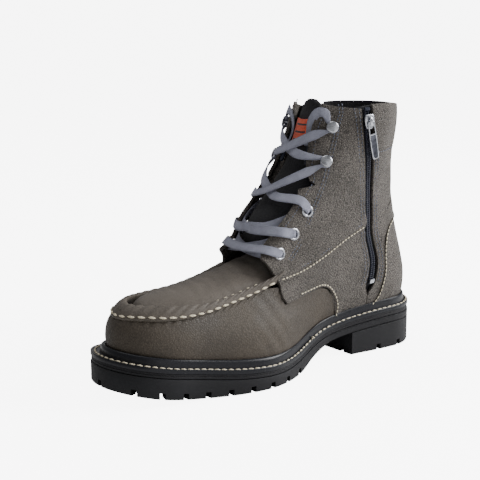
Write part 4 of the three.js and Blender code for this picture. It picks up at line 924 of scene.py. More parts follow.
def build_rib():
    """The rib: a fold standing off the seam, its crest gathered between the stitches."""
    s = np.linspace(0, 1, 620)
    a0, a1 = MOC_START, MOC_END
    section = np.array([(-0.3, -0.6), (-0.2, 0.9), (0.5, 1.6), (2.0, 2.0), (4.2, 2.4), (6.4, 2.6), (8.4, 2.4),
                        (9.5, 2.0), (10.2, 1.3), (10.4, 0.3), (10.1, -0.8), (9.2, -1.6), (7.2, -2.0), (3.5, -2.2), (0.5, -2.2)])
    r = section[:, 0] / RIB_HEIGHT
    a = a0 - 0.02 + s[:, None] * (a1 - a0 + 0.04) + 0 * r[None, :]
    phase = moc_run(a0 + s * (a1 - a0))[:, None] / MOC_PITCH * TURN
    bulge = 0.5 + 0.5 * np.cos(phase)
    crest = ease(0.35, 1.0, r)[None, :]
    taper = (ease(0, 0.025, s) * ease(0, 0.025, 1 - s))[:, None]
    h = moc_height(a) + section[:, 0] * (0.6 + 0.4 * taper) + crest * (bulge - 0.5) * 0.3
    shell_side = (section[:, 1] > 0)[None, :]
    out = section[:, 1] * (0.3 + 0.7 * taper) + shell_side * (crest * (bulge - 0.5) * 0.3 - (1 - bulge) * 0.2 * ease(0, 0.3, r))
    p = on_skin(a, h, out)
    p += ripples(p, 14, 3)[..., None] * 0.12
    n, m = p.shape[:2]
    faces = [list(map(int, f)) for f in grid_faces(n, m, wrap_columns=True)]
    faces += [list(range(m)), list(range((n - 1) * m, n * m))]
    return make("moc_rib_fold", p.reshape(-1, 3), faces)


def moc_stitch_rows():
    """Stitches at an even pitch below the seam and along the apron's edge."""
    seam_line = lambda lift_h: (lambda t: np.stack([MOC_START + t * (MOC_END - MOC_START),
                                                   moc_height(MOC_START + t * (MOC_END - MOC_START)) + lift_h], -1))
    outside = stitch_row(seam_line(1.4), MOC_PITCH, 2.1, length=0.7, width=1.7, high=1.5, slant=0.1)
    top, _ = apron_top()
    p = np.concatenate([top[10:138, 4], top[10:138, -4][::-1]])
    p[:, 2] += 0.4
    tangent, _, up = frames_along(p, np.broadcast_to((0.0, 0, 1), p.shape))
    run = run_length(p)
    _, _, pick = evenly(run, MOC_PITCH)
    inside = (pick(p), unit(pick(tangent)), unit(pick(up)), MOC_PITCH * 0.42, 1.6, 1.4)
    return [outside, inside]


APRON_CROWN = np.array([(0, 0, 12, 14.5), (0.25, -1, 5, 8.5), (0.5, -1, 0, 3.2), (0.75, 0, 0, 0.6), (1, 0, 0, 0)], float)


def apron_surface(u, q, lift):
    """Across the toe: a parabola of the crown's height between the two sides of the moc seam."""
    k = np.sin(u * np.pi / 2)
    inner = MOC_START + (np.pi - MOC_START) * k
    outer_from = float(place(-42, 65, -1, True)[0])
    outer = outer_from + (np.pi - outer_from) * k
    tucked = lift - 2.2 * (1 - ease(0, 0.16, u))
    edge = lambda a: on_skin(a, moc_height(a) + RIB_HEIGHT + 0.9, tucked)
    m, l = edge(inner), edge(outer)
    t = ((q + 1) / 2)[..., None]
    crown = np.stack([smooth(APRON_CROWN[:, 0], APRON_CROWN[:, c], u) for c in (1, 2, 3)], -1)
    return l * (1 - t) + m * t + crown * (1 - q * q)[..., None]


def apron_top():
    """The apron's upper face: creased toward the throat, sunk in a groove along the rib."""
    u, q = np.meshgrid(np.linspace(0, 1, 150), np.linspace(-1, 1, 121), indexing="ij")
    p = apron_surface(u, q, -0.8)
    across, back = np.gradient(p, axis=1), np.gradient(p, axis=0)
    n = unit(np.cross(back, across))
    n = np.where(n[..., 2:] < 0, -n, n)
    n[-1] = (0, 0, 1)
    edge = np.concatenate([p[:, 0], p[:, -1]])
    far = np.sqrt(((p[:, :, None] - edge[None, None]) ** 2).sum(-1).min(-1))
    depth = 2.0 + 2.4 * (1 - q) * (1 - ease(0.8, 1, u)) + 2.4 * ease(0.8, 1, u)
    groove = np.exp(-(far / 7) ** 2) * depth
    throat = 1 - ease(0.0, 0.42, u)
    fine = np.sin(p[..., 1] * 2.1 + p[..., 0] * 0.35 + ripples(p, 22, 6) * 2.2) * 0.13 * throat
    broad = np.sin(p[..., 1] * 0.62 + p[..., 0] * 0.16 + ripples(p, 30, 5) * 1.6) * 0.3 * throat * (1 - 0.5 * q * q)
    puckers = np.exp(-(far / 4) ** 2) * 0.1 * np.cos(u * 24 * TURN) * ease(0, 0.05, u)
    top = p + n * (ripples(p, 60, 4) * 0.5 + fine + broad + puckers - groove)[..., None]
    top[0] -= n[0] * 0.6
    return top, n


def build_apron():
    """The apron and its backing, each the apron's surface moved in along its normal."""
    top, n = apron_top()
    backing = top - n * (LEATHER + 0.4)
    return shell("apron_leather", top, top - n * LEATHER), shell("apron_backing", backing, backing - n * 1.2)


def lap_lift(far, near):
    """Leather that stands proud where it laps another piece: near its low edge, then flat."""
    return lambda a, h, s, r: far + (near - far) * (1 - ease(0.0, 0.22, r))


def drill(obj, side):
    """Cuts the three eyelet holes through a quarter."""
    for y, z in EYELETS:
        a, h = place(y, z, side)
        n, c = skin_normal(a, h), on_skin(a, h, -1.0)
        ring = np.linspace(0, TURN, 24, endpoint=False)
        u = unit(np.cross(n, (0, 0, 1.0)))
        w = np.cross(n, u)
        disc = (u * np.cos(ring)[:, None] + w * np.sin(ring)[:, None]) * 3.6
        points = np.concatenate([c + disc - n * 7, c + disc + n * 7])
        faces = [[k, (k + 1) % 24, 24 + (k + 1) % 24, 24 + k] for k in range(24)] + [list(range(24)), list(range(24, 48))]
        cutter = make("eyelet_punch", points, faces)
        hole = obj.modifiers.new("hole", "BOOLEAN")
        hole.operation, hole.object, hole.solver = "DIFFERENCE", cutter, "EXACT"
        apply_modifiers(obj)
        bpy.data.objects.remove(cutter)
    return obj


def apply_modifiers(obj):
    """The mesh as its modifiers leave it, with none left on it."""
    graph = bpy.context.evaluated_depsgraph_get()
    graph.update()
    finished = bpy.data.meshes.new_from_object(obj.evaluated_get(graph), depsgraph=graph)
    obj.modifiers.clear()
    obj.data = finished
    return obj


def shaft_relief(seed, depth=0.35):
    """Slow ripples, plus a sine of the height for soft folds."""
    def relief(a, h, s, r):
        p = skin(a, h)
        folds = np.sin(p[..., 2] / 5.2 + ripples(p, 26, seed) * 1.7) * 0.16
        return ripples(p, 34, seed + 1) * depth + folds
    return relief


def quarter_edges(side):
    """The eyestay's and the lap's edges on one side."""
    stay = seam(STAY, side, corners=True)
    lap = seam(list(LAP[::-1][:7]) + [(56.5, welt_top(56.5) + 0.3)], side)
    return stay, lap


def build_quarters():
    """The inner side's two quarters, upper and lower, with the zipper behind them."""
    made = []
    stay, lap = quarter_edges(1)
    zip_edge = seam([CREAM[4], *stretch(ZIP_FRONT, CREAM_AT_ZIP + 3, TOP_Z - 5)], 1)
    cream = seam(CREAM, 1)
    top = line(stay(1.0), zip_edge(1.0))
    upper = panel("quarter_inner_upper_leather", patch(stay, zip_edge, cream, top), 96, 150,
                  lap_lift(0.5, 1.0), relief=shaft_relief(10))
    made.append((drill(upper, 1), "quarter_inner_upper"))
    zip_low = seam([(87.9, welt_top(87.9) + 0.3), (86.7, 42), (86.3, 47), *stretch(ZIP_FRONT, 57, CREAM_AT_ZIP - 3), CREAM[4]], 1)
    made.append((lower_quarter("quarter_inner_lower_leather", lap, zip_low, cream, 12), "quarter_inner_lower"))
    return made


def lower_quarter(name, lap, rear, cream, seed):
    """A lower quarter: lap, rear line and cream seam joined by straight mixes, lifted at the lap."""
    def low(s):
        s = np.asarray(s, float)[..., None]
        return np.where(s < 0.62, lap(np.clip(s[..., 0] / 0.62, 0, 1)),
                        line(lap(1.0), rear(0.0))(np.clip((s[..., 0] - 0.62) / 0.38, 0, 1)))
    front = line(lap(0.0), cream(0.0))
    lift = lambda a, h, s, r: 0.15 + 1.1 * np.maximum(1 - ease(0, 0.3, r), 1 - ease(0, 0.12, s)) * (s < 0.7)
    return panel(name, patch(front, rear, low, cream), 130, 64, lift, relief=shaft_relief(seed, 0.3))


def counter_curves():
    """The counter's edge, and its top raised behind by a squared sine."""
    edge = seam(COUNTER_EDGE, 1)

    def top(s):
        a, h = edge(1.0)
        s = np.asarray(s, float)
        return np.stack([a - 2 * a * s, h + 8 * np.sin(np.pi * s) ** 2], -1)
    return edge, top


def build_backs():
    """Counter, heel quarter, shaft back and padded collar, all round the heel to the outer side."""
    made = []
    edge, top = counter_curves()
    level = lambda a, h: (lambda s: np.stack([a - 2 * a * np.asarray(s, float), h + 0 * np.asarray(s, float)], -1))
    counter = patch(edge, mirrored(edge), level(*edge(0.0)), top)
    proud = lambda a, h, s, r: 0.1 + 1.0 * np.maximum.reduce([1 - ease(0, .07, s), 1 - ease(0, .07, 1 - s), 1 - ease(0, .1, 1 - r)])
    made.append((panel("counter_leather", counter, 190, 90, proud, relief=lambda a, h, s, r: ripples(skin(a, h), 40, 20) * 0.3),
                 "counter"))
    rear = seam(REAR_SEAM, 1)
    k = 0.36

    def part(curve_a, middle):
        def at(s):
            s = np.asarray(s, float)
            c = s[..., None]
            first = curve_a(np.clip(s / k, 0, 1))
            last = mirrored(curve_a)(np.clip((1 - s) / k, 0, 1))
            return np.where(c < k, first, np.where(c > 1 - k, last, middle(np.clip((s - k) / (1 - 2 * k), 0, 1))))
        return at

    def rear_middle(s):
        a, h = rear(1.0)
        return np.stack([a - 2 * a * s, h + 1.5 * np.sin(np.pi * s)], -1)
    low, high = part(edge, top), part(rear, rear_middle)
    zip_low = seam([COUNTER_EDGE[0], (87.3, 42), (86.9, 47), *stretch(ZIP_REAR, 57, 101), REAR_SEAM[0]], 1)
    outer = line(mirrored(edge)(0.0), mirrored(rear)(0.0))
    made.append((panel("heel_quarter_leather", patch(zip_low, outer, low, high), 230, 60, 0.2, relief=shaft_relief(22, 0.25)),
                 "heel_quarter"))
    zip_edge = seam([REAR_SEAM[0], *stretch(ZIP_REAR, 110, COLLAR_Z, 5)], 1)
    collar_low = zip_edge(1.0)
    back_top = level(*collar_low)
    back = patch(zip_edge, line(high(1.0), back_top(1.0)), high, back_top)
    made.append((panel("shaft_back_leather", back, 200, 64, 0.4, relief=shaft_relief(24, 0.4)), "shaft_back"))
    collar_side = seam(stretch(ZIP_REAR, COLLAR_Z, TOP_Z - 2, 4), 1)

    def collar(s, r):
        a, h = np.moveaxis(collar_side(r), -1, 0)
        return np.stack([a - 2 * a * s, h - COLLAR_DIP * r * ease(0, 0.5, s)], -1)
    swell = lambda a, h, s, r: 0.6 + 1.5 * np.sin(np.pi * np.clip(r, 0, 1)) ** 0.8 + ripples(skin(a, h), 30, 26) * 0.35
    pad = panel("collar_leather", collar, 200, 40, swell, round_mm=0.9)
    made.append((pad, "collar_back"))
    return made, high, collar_low, collar_side, edge


def build_outer_quarters(high, collar_low, collar_side, counter_edge):
    """The outer side's quarters, between mirrored edges."""
    stay, lap = quarter_edges(-1)
    corner = mirrored(lambda s: collar_low)(0)
    rear_low = line(high(1.0), corner)

    def rear(r):
        r = np.asarray(r, float)
        k = np.clip((r - 0.6) / 0.4, 0, 1)
        return np.where(r[..., None] < 0.6, rear_low(np.clip(r / 0.6, 0, 1)),
                        mirrored(collar_side)(k) - np.stack([0 * k, COLLAR_DIP * k], -1))
    cream = seam(list(CREAM[:4]) + [REAR_SEAM[0]], -1)
    top = line(stay(1.0), rear(1.0))
    upper = panel("quarter_outer_upper_leather", patch(stay, rear, cream, top), 110, 150,
                  lap_lift(0.5, 1.0), relief=shaft_relief(30))
    rear_edge = line(mirrored(counter_edge)(0.0), high(1.0))
    lower = lower_quarter("quarter_outer_lower_leather", lap, rear_edge, cream, 32)
    return [(drill(upper, -1), "quarter_outer_upper"), (lower, "quarter_outer_lower")]


# ---------------------------------------------------------------- swept pieces
def swept(points, side, up, half_wide, half_high, sides=12, power=3.0):
    """A rounded-oblong section carried along points: power 2 is an ellipse, higher is squarer."""
    t = np.linspace(0, TURN, sides, endpoint=False)
    round_to = lambda v: np.sign(v) * np.abs(v) ** (2 / power)
    x, y = round_to(np.cos(t)), round_to(np.sin(t))
    wide, high = (np.broadcast_to(v, len(points))[:, None, None] for v in (half_wide, half_high))
    return points[:, None] + side[:, None] * x[None, :, None] * wide + up[:, None] * y[None, :, None] * high


def capped(rows, columns, start=0):
    """Faces of a closed-section grid with a face over each end."""
    faces = (grid_faces(rows, columns, wrap_columns=True) + start).tolist()
    return faces + [list(range(start, start + columns)), list(range(start + (rows - 1) * columns, start + rows * columns))]


def several(name, grids, closed=()):
    """One mesh of several swept grids; those listed in closed run round in a loop."""
    points, faces, start = [], [], 0
    for k, g in enumerate(grids):
        rows, columns = g.shape[:2]
        if k in closed:
            faces += (grid_faces(rows, columns, True, True) + start).tolist()
        else:
            faces += capped(rows, columns, start)
        points.append(g.reshape(-1, 3))
        start += rows * columns
    return make(name, np.concatenate(points), faces)


def strip_between(from_mm, to_mm, low, high):
    """A strip between two lines beside the zipper's, mixed straight across."""
    left, right = seam(stretch(zip_side(from_mm), low, high, 12), 1), seam(stretch(zip_side(to_mm), low, high, 12), 1)

    def at(s, r):
        k = s[..., None]
        return left(r) * (1 - k) + right(r) * k
    return at


def build_zip():
    """The tapes, and teeth at even steps down both edges, half a step apart."""
    tape = 0.35
    front = panel("zip_tape_front_cloth", strip_between(-9, -0.1, 55, 201.5), 14, 120, -LEATHER - tape, -LEATHER - 0.95, 0.2)
    rear = panel("zip_tape_rear_cloth", strip_between(0.1, 9, 55, 201.5), 14, 120, -LEATHER - tape, -LEATHER - 0.95, 0.2)
    teeth = []
    for name, shift, offset in (("zip_coil_front_teeth", -1.25, 0.0), ("zip_coil_rear_teeth", 1.25, 0.5)):
        line_of = seam(stretch(zip_side(shift), 56, 201, 14), 1)
        first = 0.004 + offset * 1.55 / 150
        centres, along, up, length, wide, high = stitch_row(line_of, 1.55, -1.1, start=first, end=min(1, first + 0.99))
        across = unit(np.cross(along, up))
        teeth.append(stitches(name, [(centres, across, up, 2.6, 1.35, 1.7)], sides=8, rings=6))
    stops = [panel(n, strip_between(-2.2, 2.2, lo, hi), 10, 10, 1.2, -0.6, 0.7)
             for n, lo, hi in (("zip_bottom_stop_metal", 57.5, 60.5), ("zip_top_stop_metal", 198.5, 201))]
    return front, rear, teeth, stops


def on_zip(z):
    """The place on the skin of the zipper's line at height z."""
    p = np.array(ZIP_LINE, float)
    return place(smooth(p[:, 1], p[:, 0], z), z, 1)


def slider_frame():
    """The slider's place and its across, outward and upward directions."""
    top = skin(*on_zip(190.0))
    up = unit(top - skin(*on_zip(130.0)))
    out = skin_normal(*on_zip(180.0))
    out = unit(out - up * (out @ up))
    return top + out * 1.7, np.cross(out, up), out, up


def build_slider():
    """The slider: sections whose outline is powers of sine and cosine."""
    base, wide, out, up = slider_frame()
    to = lambda p: base + p[..., :1] * wide + p[..., 1:2] * out + p[..., 2:] * up
    t = np.linspace(0, TURN, 48, endpoint=False)
    square = lambda v, k: np.sign(v) * np.abs(v) ** k
    z = square(np.sin(t), 0.55) * 6
    x = square(np.cos(t), 0.5) * np.interp(z, [-6, 1.2, 6], [3.2, 4.5, 4.5])
    rings = [np.stack([x * k, 0 * x + y, z * k], -1) for k, y in
             ((0.86, 0.0), (0.97, 0.12), (1, 0.4), (1, 1.0), (0.96, 1.3), (0.86, 1.42), (0.5, 1.55))]
    plate = np.stack([to(r) for r in rings])
    q = np.linspace(0, 1, 30)
    path = np.stack([0 * q, 1.2 + 2.1 * np.sin(np.pi * q) ** 0.55, 3.9 * np.cos(np.pi * q)], -1)
    points = to(path)
    tangent = unit(np.gradient(points, axis=0))
    side = np.broadcast_to(wide, points.shape)
    arch = swept(points, side, np.cross(side, tangent), 1.25, 0.62, 14, 3.5)
    return several("zip_slider_metal", [plate, arch])


def build_pull():
    """The pull's rim and plate, turned 8 degrees from upright."""
    base, wide, out, up = slider_frame()
    pin = base + out * 2.8
    c, s = np.cos(np.radians(8)), np.sin(np.radians(8))
    across, along = wide * c - up * s, wide * s + up * c
    to = lambda p: pin + p[..., :1] * across + p[..., 1:2] * out + p[..., 2:] * along

    def loop(half, top, bottom, corner, count=96):
        """A rounded oblong line, run round once."""
        t = np.linspace(0, TURN, count, endpoint=False)
        dx, dz = half - corner, (top - bottom) / 2 - corner
        x = np.clip(np.cos(t) * 1.35, -1, 1) * dx + np.cos(t) * corner
        z = np.clip(np.sin(t) * 1.35, -1, 1) * dz + np.sin(t) * corner + (top + bottom) / 2
        return np.stack([x, 0 * t, z], -1)
    rim_line = loop(2.95, 0.25, -29.7, 1.3)
    points = to(rim_line)
    tangent = unit(np.roll(points, -1, 0) - np.roll(points, 1, 0))
    up_rows = np.broadcast_to(out, points.shape)
    rim = swept(points, np.cross(up_rows, tangent), up_rows, 0.52, 0.6, 12, 3.2)
    inner = loop(2.7, -10.2, -29.5, 1.2)
    centre = inner.mean(0)
    plate = np.stack([to(centre + (inner - centre) * k + np.array([0, y, 0]))
                      for k, y in ((0.02, -0.3), (1.0, -0.3), (1.0, 0.15), (0.9, 0.2), (0.84, 0.02), (0.02, 0.02))])
    bar = to(np.stack([np.linspace(-2.8, 2.8, 8), np.zeros(8), np.full(8, -10.2)], -1))
    bar = swept(bar, np.broadcast_to(along, bar.shape), np.broadcast_to(out, bar.shape), 0.6, 0.5, 12, 3.0)
    return several("zip_pull_rim", [rim, bar], closed=(0,)), several("zip_pull_plate", [plate])


# ---------------------------------------------------------------- eyelets, hooks, lace
EYELET_PROFILE = [(2.9, -2.2), (2.9, 0.9), (3.05, 1.45), (3.5, 1.75), (4.1, 1.72), (4.6, 1.45), (4.95, 1.05), (5.0, 0.85),
                  (4.7, 0.8), (3.5, 0.8), (3.4, -2.2)]
HOOK_PROFILE = [(0, 0.5), (4.2, 0.5), (4.6, 0.7), (4.5, 1.15), (2.4, 1.4), (1.8, 1.9), (1.8, 4.6), (2.3, 5.2), (4.3, 5.3),
                (4.6, 5.6), (4.55, 6.0), (4.1, 6.35), (2.9, 6.65), (1.5, 6.8), (0, 6.85)]


def lathe(name, profile, y, z, side, sides=40, ring=False):
    """A profile of (radius, height) turned about the leather's normal at a side-view point."""
    a, h = place(y, z, side)
    n = skin_normal(a, h)
    u = unit(np.cross(n, (0, 0, 1.0)))
    w = np.cross(n, u)
    t = np.linspace(0, TURN, sides, endpoint=False)
    profile = np.array(profile, float)
    disc = u * np.cos(t)[:, None] + w * np.sin(t)[:, None]
    points = skin(a, h) + profile[:, None, :1] * disc[None] + profile[:, None, 1:] * n
    return sharp(grid(name, points, wrap_rows=ring, wrap_columns=True), 50)


LACE_THICK = 0.5                      # half the lace's thickness where it lies free


def lace_run(half_wide):
    """The lace's line: places, the lift off the leather at each, and the lace's half width and thickness."""
    rows = EYELETS + HOOKS
    rise_hole, over, under, level = 2.4, 3.6, -4.4, 3.4

    def spot(i, side):
        a, h = place(*rows[i], side)
        return (a, h) if side > 0 else (TURN + a, h)
    per_mm = lambda a, h: 0.02 / np.linalg.norm(skin(a + 0.01, h) - skin(a - 0.01, h))
    mix = lambda p, q, k: p + (q - p) * k

    def half(first):
        pts = []
        on = lambda a, h, out, wide=half_wide, thick=LACE_THICK: pts.append((a, h, out, wide, thick))

        def hole(a, h, outward):
            """Through an eyelet, gathered, inward or outward."""
            pair = [(rise_hole, 2.5, 0.9), (-1.1, 1.9, 1.2)]
            for out, wide, thick in pair[::-1] if outward else pair:
                on(a, h, out, wide, thick)
        side = first
        hole(*spot(0, side), outward=False)
        for i in range(1, len(rows)):
            a0, h0 = spot(i - 1, side)
            target = -side
            a1, h1 = spot(i, target)
            step0, step1 = per_mm(a0, h0) * side, per_mm(a1, h1) * target
            above = 1 if side < 0 else 0
            if i == 1:                        # behind both flaps, over the tongue
                on(a0 + step0 * 0.4, h0, under + 1, 2.5, 0.9)
                on(a0 + step0 * 5.4, h0 + 0.5, under)
                on(a0 + step0 * 12, mix(h0, h1, 0.15), under)
                on(mix(a0, a1, 0.5), mix(h0, h1, 0.5), -3.0 - 2.2 * (1 - above))
            elif i <= len(EYELETS):           # out of the eyelet and over the flap's edge
                on(a0 + step0 * 3.6, mix(h0, h1, 0.1), 2.2)
                on(a0 + step0 * 13, mix(h0, h1, 0.27), 2.8)
                on(mix(a0, a1, 0.36), mix(h0, h1, 0.44), 1.2)
                on(mix(a0, a1, 0.5), mix(h0, h1, 0.56), 0.4 - 2.4 * (1 - above))
            else:                             # from hook to hook
                on(mix(a0, a1, 0.3), mix(h0, h1, 0.3), 3.4)
                on(mix(a0, a1, 0.5), mix(h0, h1, 0.5), 2.8 - 2.6 * (1 - above))
            if i < len(EYELETS):
                on(mix(a0, a1, 0.66), mix(h0, h1, 0.72), under + 0.6)
                on(a1 + step1 * 11, mix(h0, h1, 0.92), under)
                on(a1 + step1 * 5.4, h1 - 1, under)
                on(a1 + step1 * 0.4, h1, under + 1, 2.5, 0.9)
                hole(a1, h1, outward=True)
            else:
                on(mix(a0, a1, 0.66), mix(h0, h1, 0.68), 2.2)
                on(a1 + step1 * 13, mix(h0, h1, 0.84), 3.4)
                r = 2.9
                for da, dh in ((1, -0.9), (-0.5, -1), (-1.1, 0), (-0.5, 1), (1, 1)):
                    on(a1 + step1 * r * da, h1 + r * dh, level, 1.2, 1.3)
            side = target
        a4, h4 = spot(len(rows) - 1, side)
        step = per_mm(a4, h4) * side
        on(a4 + step * 9, h4 + 11, over)
        on(a4 + step * 16, h4 + 12, 2.4)
        on(a4 + step * 21.5, h4 + 7, -2)
        on(a4 + step * 21, h4 - 1, under)
        on(a4 + step * 19, h4 - 10, under + 0.4)
        return pts
    a, h = spot(0, 1)
    b, _ = spot(0, -1)
    bar = [(mix(b, a, k), h + lift, out, half_wide, LACE_THICK) for k, lift, out in (
        (0.06, 1.0, 2.2), (0.17, 2.5, 2.6), (0.34, 3.5, 1.6), (0.5, 3.5, 1.2), (0.66, 3.5, 1.6), (0.83, 2.5, 2.6), (0.94, 1.0, 2.2))]
    return np.array(half(-1)[::-1] + bar + half(1), float)


def spline(points, values, spacing):
    """Centripetal Catmull-Rom line through points, with values carried along; evenly spaced."""
    p = np.concatenate([2 * points[:1] - points[1:2], points, 2 * points[-1:] - points[-2:-1]])
    knot = np.concatenate([[0], np.cumsum(np.linalg.norm(np.diff(p, axis=0), axis=1) ** 0.5)])
    out, carried_values = [], []
    for i in range(1, len(p) - 2):
        t0, t1, t2, t3 = knot[i - 1:i + 3]
        t = np.linspace(t1, t2, 24, endpoint=i == len(p) - 3)[:, None]
        a1 = (t1 - t) / (t1 - t0) * p[i - 1] + (t - t0) / (t1 - t0) * p[i]
        a2 = (t2 - t) / (t2 - t1) * p[i] + (t - t1) / (t2 - t1) * p[i + 1]
        a3 = (t3 - t) / (t3 - t2) * p[i + 1] + (t - t2) / (t3 - t2) * p[i + 2]
        b1 = (t2 - t) / (t2 - t0) * a1 + (t - t0) / (t2 - t0) * a2
        b2 = (t3 - t) / (t3 - t1) * a2 + (t - t1) / (t3 - t1) * a3
        out.append((t2 - t) / (t2 - t1) * b1 + (t - t1) / (t2 - t1) * b2)
        k = (t - t1) / (t2 - t1)
        carried_values.append(values[i - 1] * (1 - k) + values[i] * k)
    line_points, line_values = np.concatenate(out), np.concatenate(carried_values)
    run = run_length(line_points)
    at = np.linspace(0, run[-1], int(run[-1] / spacing) + 1)
    pick = lambda v: np.stack([np.interp(at, run, v[:, k]) for k in range(v.shape[1])], -1)
    return pick(line_points), pick(line_values), at


def build_lace(half_wide):
    """A flat woven lace along the run, lying on the leather and gathered at eyelets and hooks."""
    run = lace_run(half_wide)
    control = on_skin(run[:, 0], run[:, 1], run[:, 2])
    normal = skin_normal(run[:, 0], run[:, 1])
    travel = np.gradient(control, axis=0)
    flat = travel - normal * (travel * normal).sum(-1, keepdims=True)
    strong = np.linalg.norm(flat, axis=-1) > 0.5 * np.linalg.norm(travel, axis=-1)
    side = unit(np.cross(normal, flat))
    for i in range(1, len(side)):
        if not strong[i]:
            side[i] = side[i - 1]
        if side[i] @ side[i - 1] < 0:
            side[i] = -side[i]
    points, values, at = spline(control, np.concatenate([side, run[:, 3:]], -1), 1.1)
    tangent = unit(np.gradient(points, axis=0))
    side = values[:, :3] - tangent * (values[:, :3] * tangent).sum(-1, keepdims=True)
    side = unit(side)
    up = np.cross(side, tangent)
    sides = 16
    section = swept(points, side, up, values[:, 3], values[:, 4], sides, 2.8)
    t = np.linspace(0, 1, sides, endpoint=False)
    across = np.abs(1 - 2 * t)
    uv = np.stack(np.broadcast_arrays(at[:, None] / 10, across[None, :]), -1).reshape(-1, 2)
    lace = make("lace_ribbon", section.reshape(-1, 3), capped(len(points), sides), uv)
    tips = []
    for name, index, sign in (("aglet_inner_tip", 0, -1), ("aglet_outer_tip", -1, 1)):
        axis = tangent[index] * sign
        u = unit(np.cross(axis, normal[index]))
        w = np.cross(axis, u)
        d = np.linspace(0, 1, 12)
        radius = 1.45 + 0.1 * np.cos(d * 18)
        radius[0] = radius[-1] = 1.1
        ring = np.linspace(0, TURN, 20, endpoint=False)
        p = (points[index] + axis * 0.3) + axis * d[:, None, None] * 15 + (
            u * np.cos(ring)[None, :, None] + w * np.sin(ring)[None, :, None]) * radius[:, None, None]
        tips.append(make(name, p.reshape(-1, 3), capped(12, 20)))
    return lace, tips


# ---------------------------------------------------------------- linings, tongue, webbing, threads
TONGUE_FACE, TONGUE_PAD, TONGUE_LOW, TONGUE_TOP = -7.2, 5.0, 84, 180


def tongue_half(h):
    """The tongue's half width, as an angle, at height h."""
    return smooth([60, 95, 130, 182], [0.62, 0.95, 1.0, 1.12], h)


def inflated(obj, cell_mm, pressure, frames, reach_mm):
    """Padding: an even net over the piece is blown up as cloth, no point moving over reach_mm."""
    net = obj.modifiers.new("net", "REMESH")
    net.mode, net.voxel_size = "VOXEL", cell_mm * MM
    apply_modifiers(obj)
    rest = np.zeros(len(obj.data.vertices) * 3)
    obj.data.vertices.foreach_get("co", rest)
    cloth = obj.modifiers.new("cloth", "CLOTH").settings
    cloth.use_pressure, cloth.uniform_pressure_force = True, pressure
    cloth.quality, cloth.mass = 5, 0.2
    cloth.tension_stiffness = cloth.compression_stiffness = 20
    cloth.effector_weights.gravity = 0.0
    for f in range(1, frames + 1):
        bpy.context.scene.frame_set(f)
    apply_modifiers(obj)
    blown = np.zeros(len(rest))
    obj.data.vertices.foreach_get("co", blown)
    move = (blown - rest).reshape(-1, 3)
    far = np.linalg.norm(move, axis=1, keepdims=True)
    move *= np.minimum(1, reach_mm * MM / np.maximum(far, 1e-9))
    obj.data.vertices.foreach_set("co", (rest.reshape(-1, 3) + move).ravel())
    bpy.context.scene.frame_set(1)
    fine = obj.modifiers.new("fine", "SUBSURF")
    fine.levels = fine.render_levels = 1
    apply_modifiers(obj)
    obj.data.shade_smooth()
    return obj


def build_tongue():
    """The tongue: width by height, narrowed to a lobe at the top, then blown up as cloth."""
    def at(s, r):
        h = TONGUE_LOW + (TONGUE_TOP - TONGUE_LOW) * r
        half = tongue_half(h)
        lobe = 1 - 0.5 * ease(0.86, 1.0, r)
        return np.stack([np.pi + (2 * s - 1) * half * lobe, h - 7 * (2 * s - 1) ** 2 * ease(0.8, 1, r)], -1)

    def face(a, h, s, r):
        channel = np.exp(-((np.abs(2 * s - 1) - 0.5) / 0.06) ** 2) + np.exp(-((r - 0.5) / 0.02) ** 2)
        return TONGUE_FACE - 0.9 * np.minimum(channel, 1)
    pad = panel("tongue_pad", at, 60, 70, face, TONGUE_FACE - TONGUE_PAD, 1.6)
    inflated(pad, 2.4, 2.5, 12, 1.4)
    label = panel("tongue_label_cloth", lambda s, r: np.stack([np.pi - 0.3 + 0.6 * s, 150 + 16 * r], -1), 16, 12,
                  TONGUE_FACE + 2.0, TONGUE_FACE + 0.6, 0.3)
    return pad, label


def build_linings():
    """The shaft's lining: one sheet round the back, dipping at the collar."""
    edge = seam(STAY_LINING, 1)

    def wrap(s, r):
        p = edge(r)
        return np.stack([p[..., 0] * (1 - 2 * s), p[..., 1] - (COLLAR_DIP - 1) * r * ease(0.1, 0.5, s) * (1 - ease(0.8, 1, s))], -1)
    lining = panel("lining_shaft_cloth", wrap, 160, 60, LINING_OUT, LINING_IN, 0.3,
                   relief=lambda a, h, s, r: ripples(skin(a, h), 30, 40) * 0.25)
    return lining


def build_webbing():
    """Back strap and pull tab, the tab bowed out by a squared sine."""
    strip = lambda half, low, high: (lambda s, r: np.stack([half - 2 * half * s, low + (high - low) * r], -1))
    strap = panel("back_strap_webbing", strip(0.16, 70, 126), 16, 40, 2.2, 0.7, 0.3)
    tab = panel("pull_tab_webbing", strip(0.2, 134, 165), 16, 30,
                lambda a, h, s, r: 3.3 + 1.1 * np.sin(np.pi * np.clip(r, 0, 1)) ** 2,
                lambda a, h, s, r: 2.2 + 0.8 * np.sin(np.pi * np.clip(r, 0, 1)) ** 2, 0.3)
    return strap, tab


def cream_rows():
    """The cream topstitching of the quarters, laps and counter."""
    rows = []
    cream = lambda edge, out, start, end: rows.append(
        stitch_row(edge, 3.3, out, width=1.1, high=0.8, start=start, end=end))
    lap = list(LAP[:7])[::-1]
    for side in (1, -1):
        cream(seam([(y + 0.6, z + 2.6) for y, z in CREAM], side), 1.45, 0.02, 0.98)
        cream(seam([(y - 1.2, z + 2.2) for y, z in lap], side), 1.75, 0.01, 0.94)
    edge, _ = counter_curves()
    for curve in (edge, mirrored(edge)):
        cream(curve, 1.4, 0.03, 0.99)
    return rows


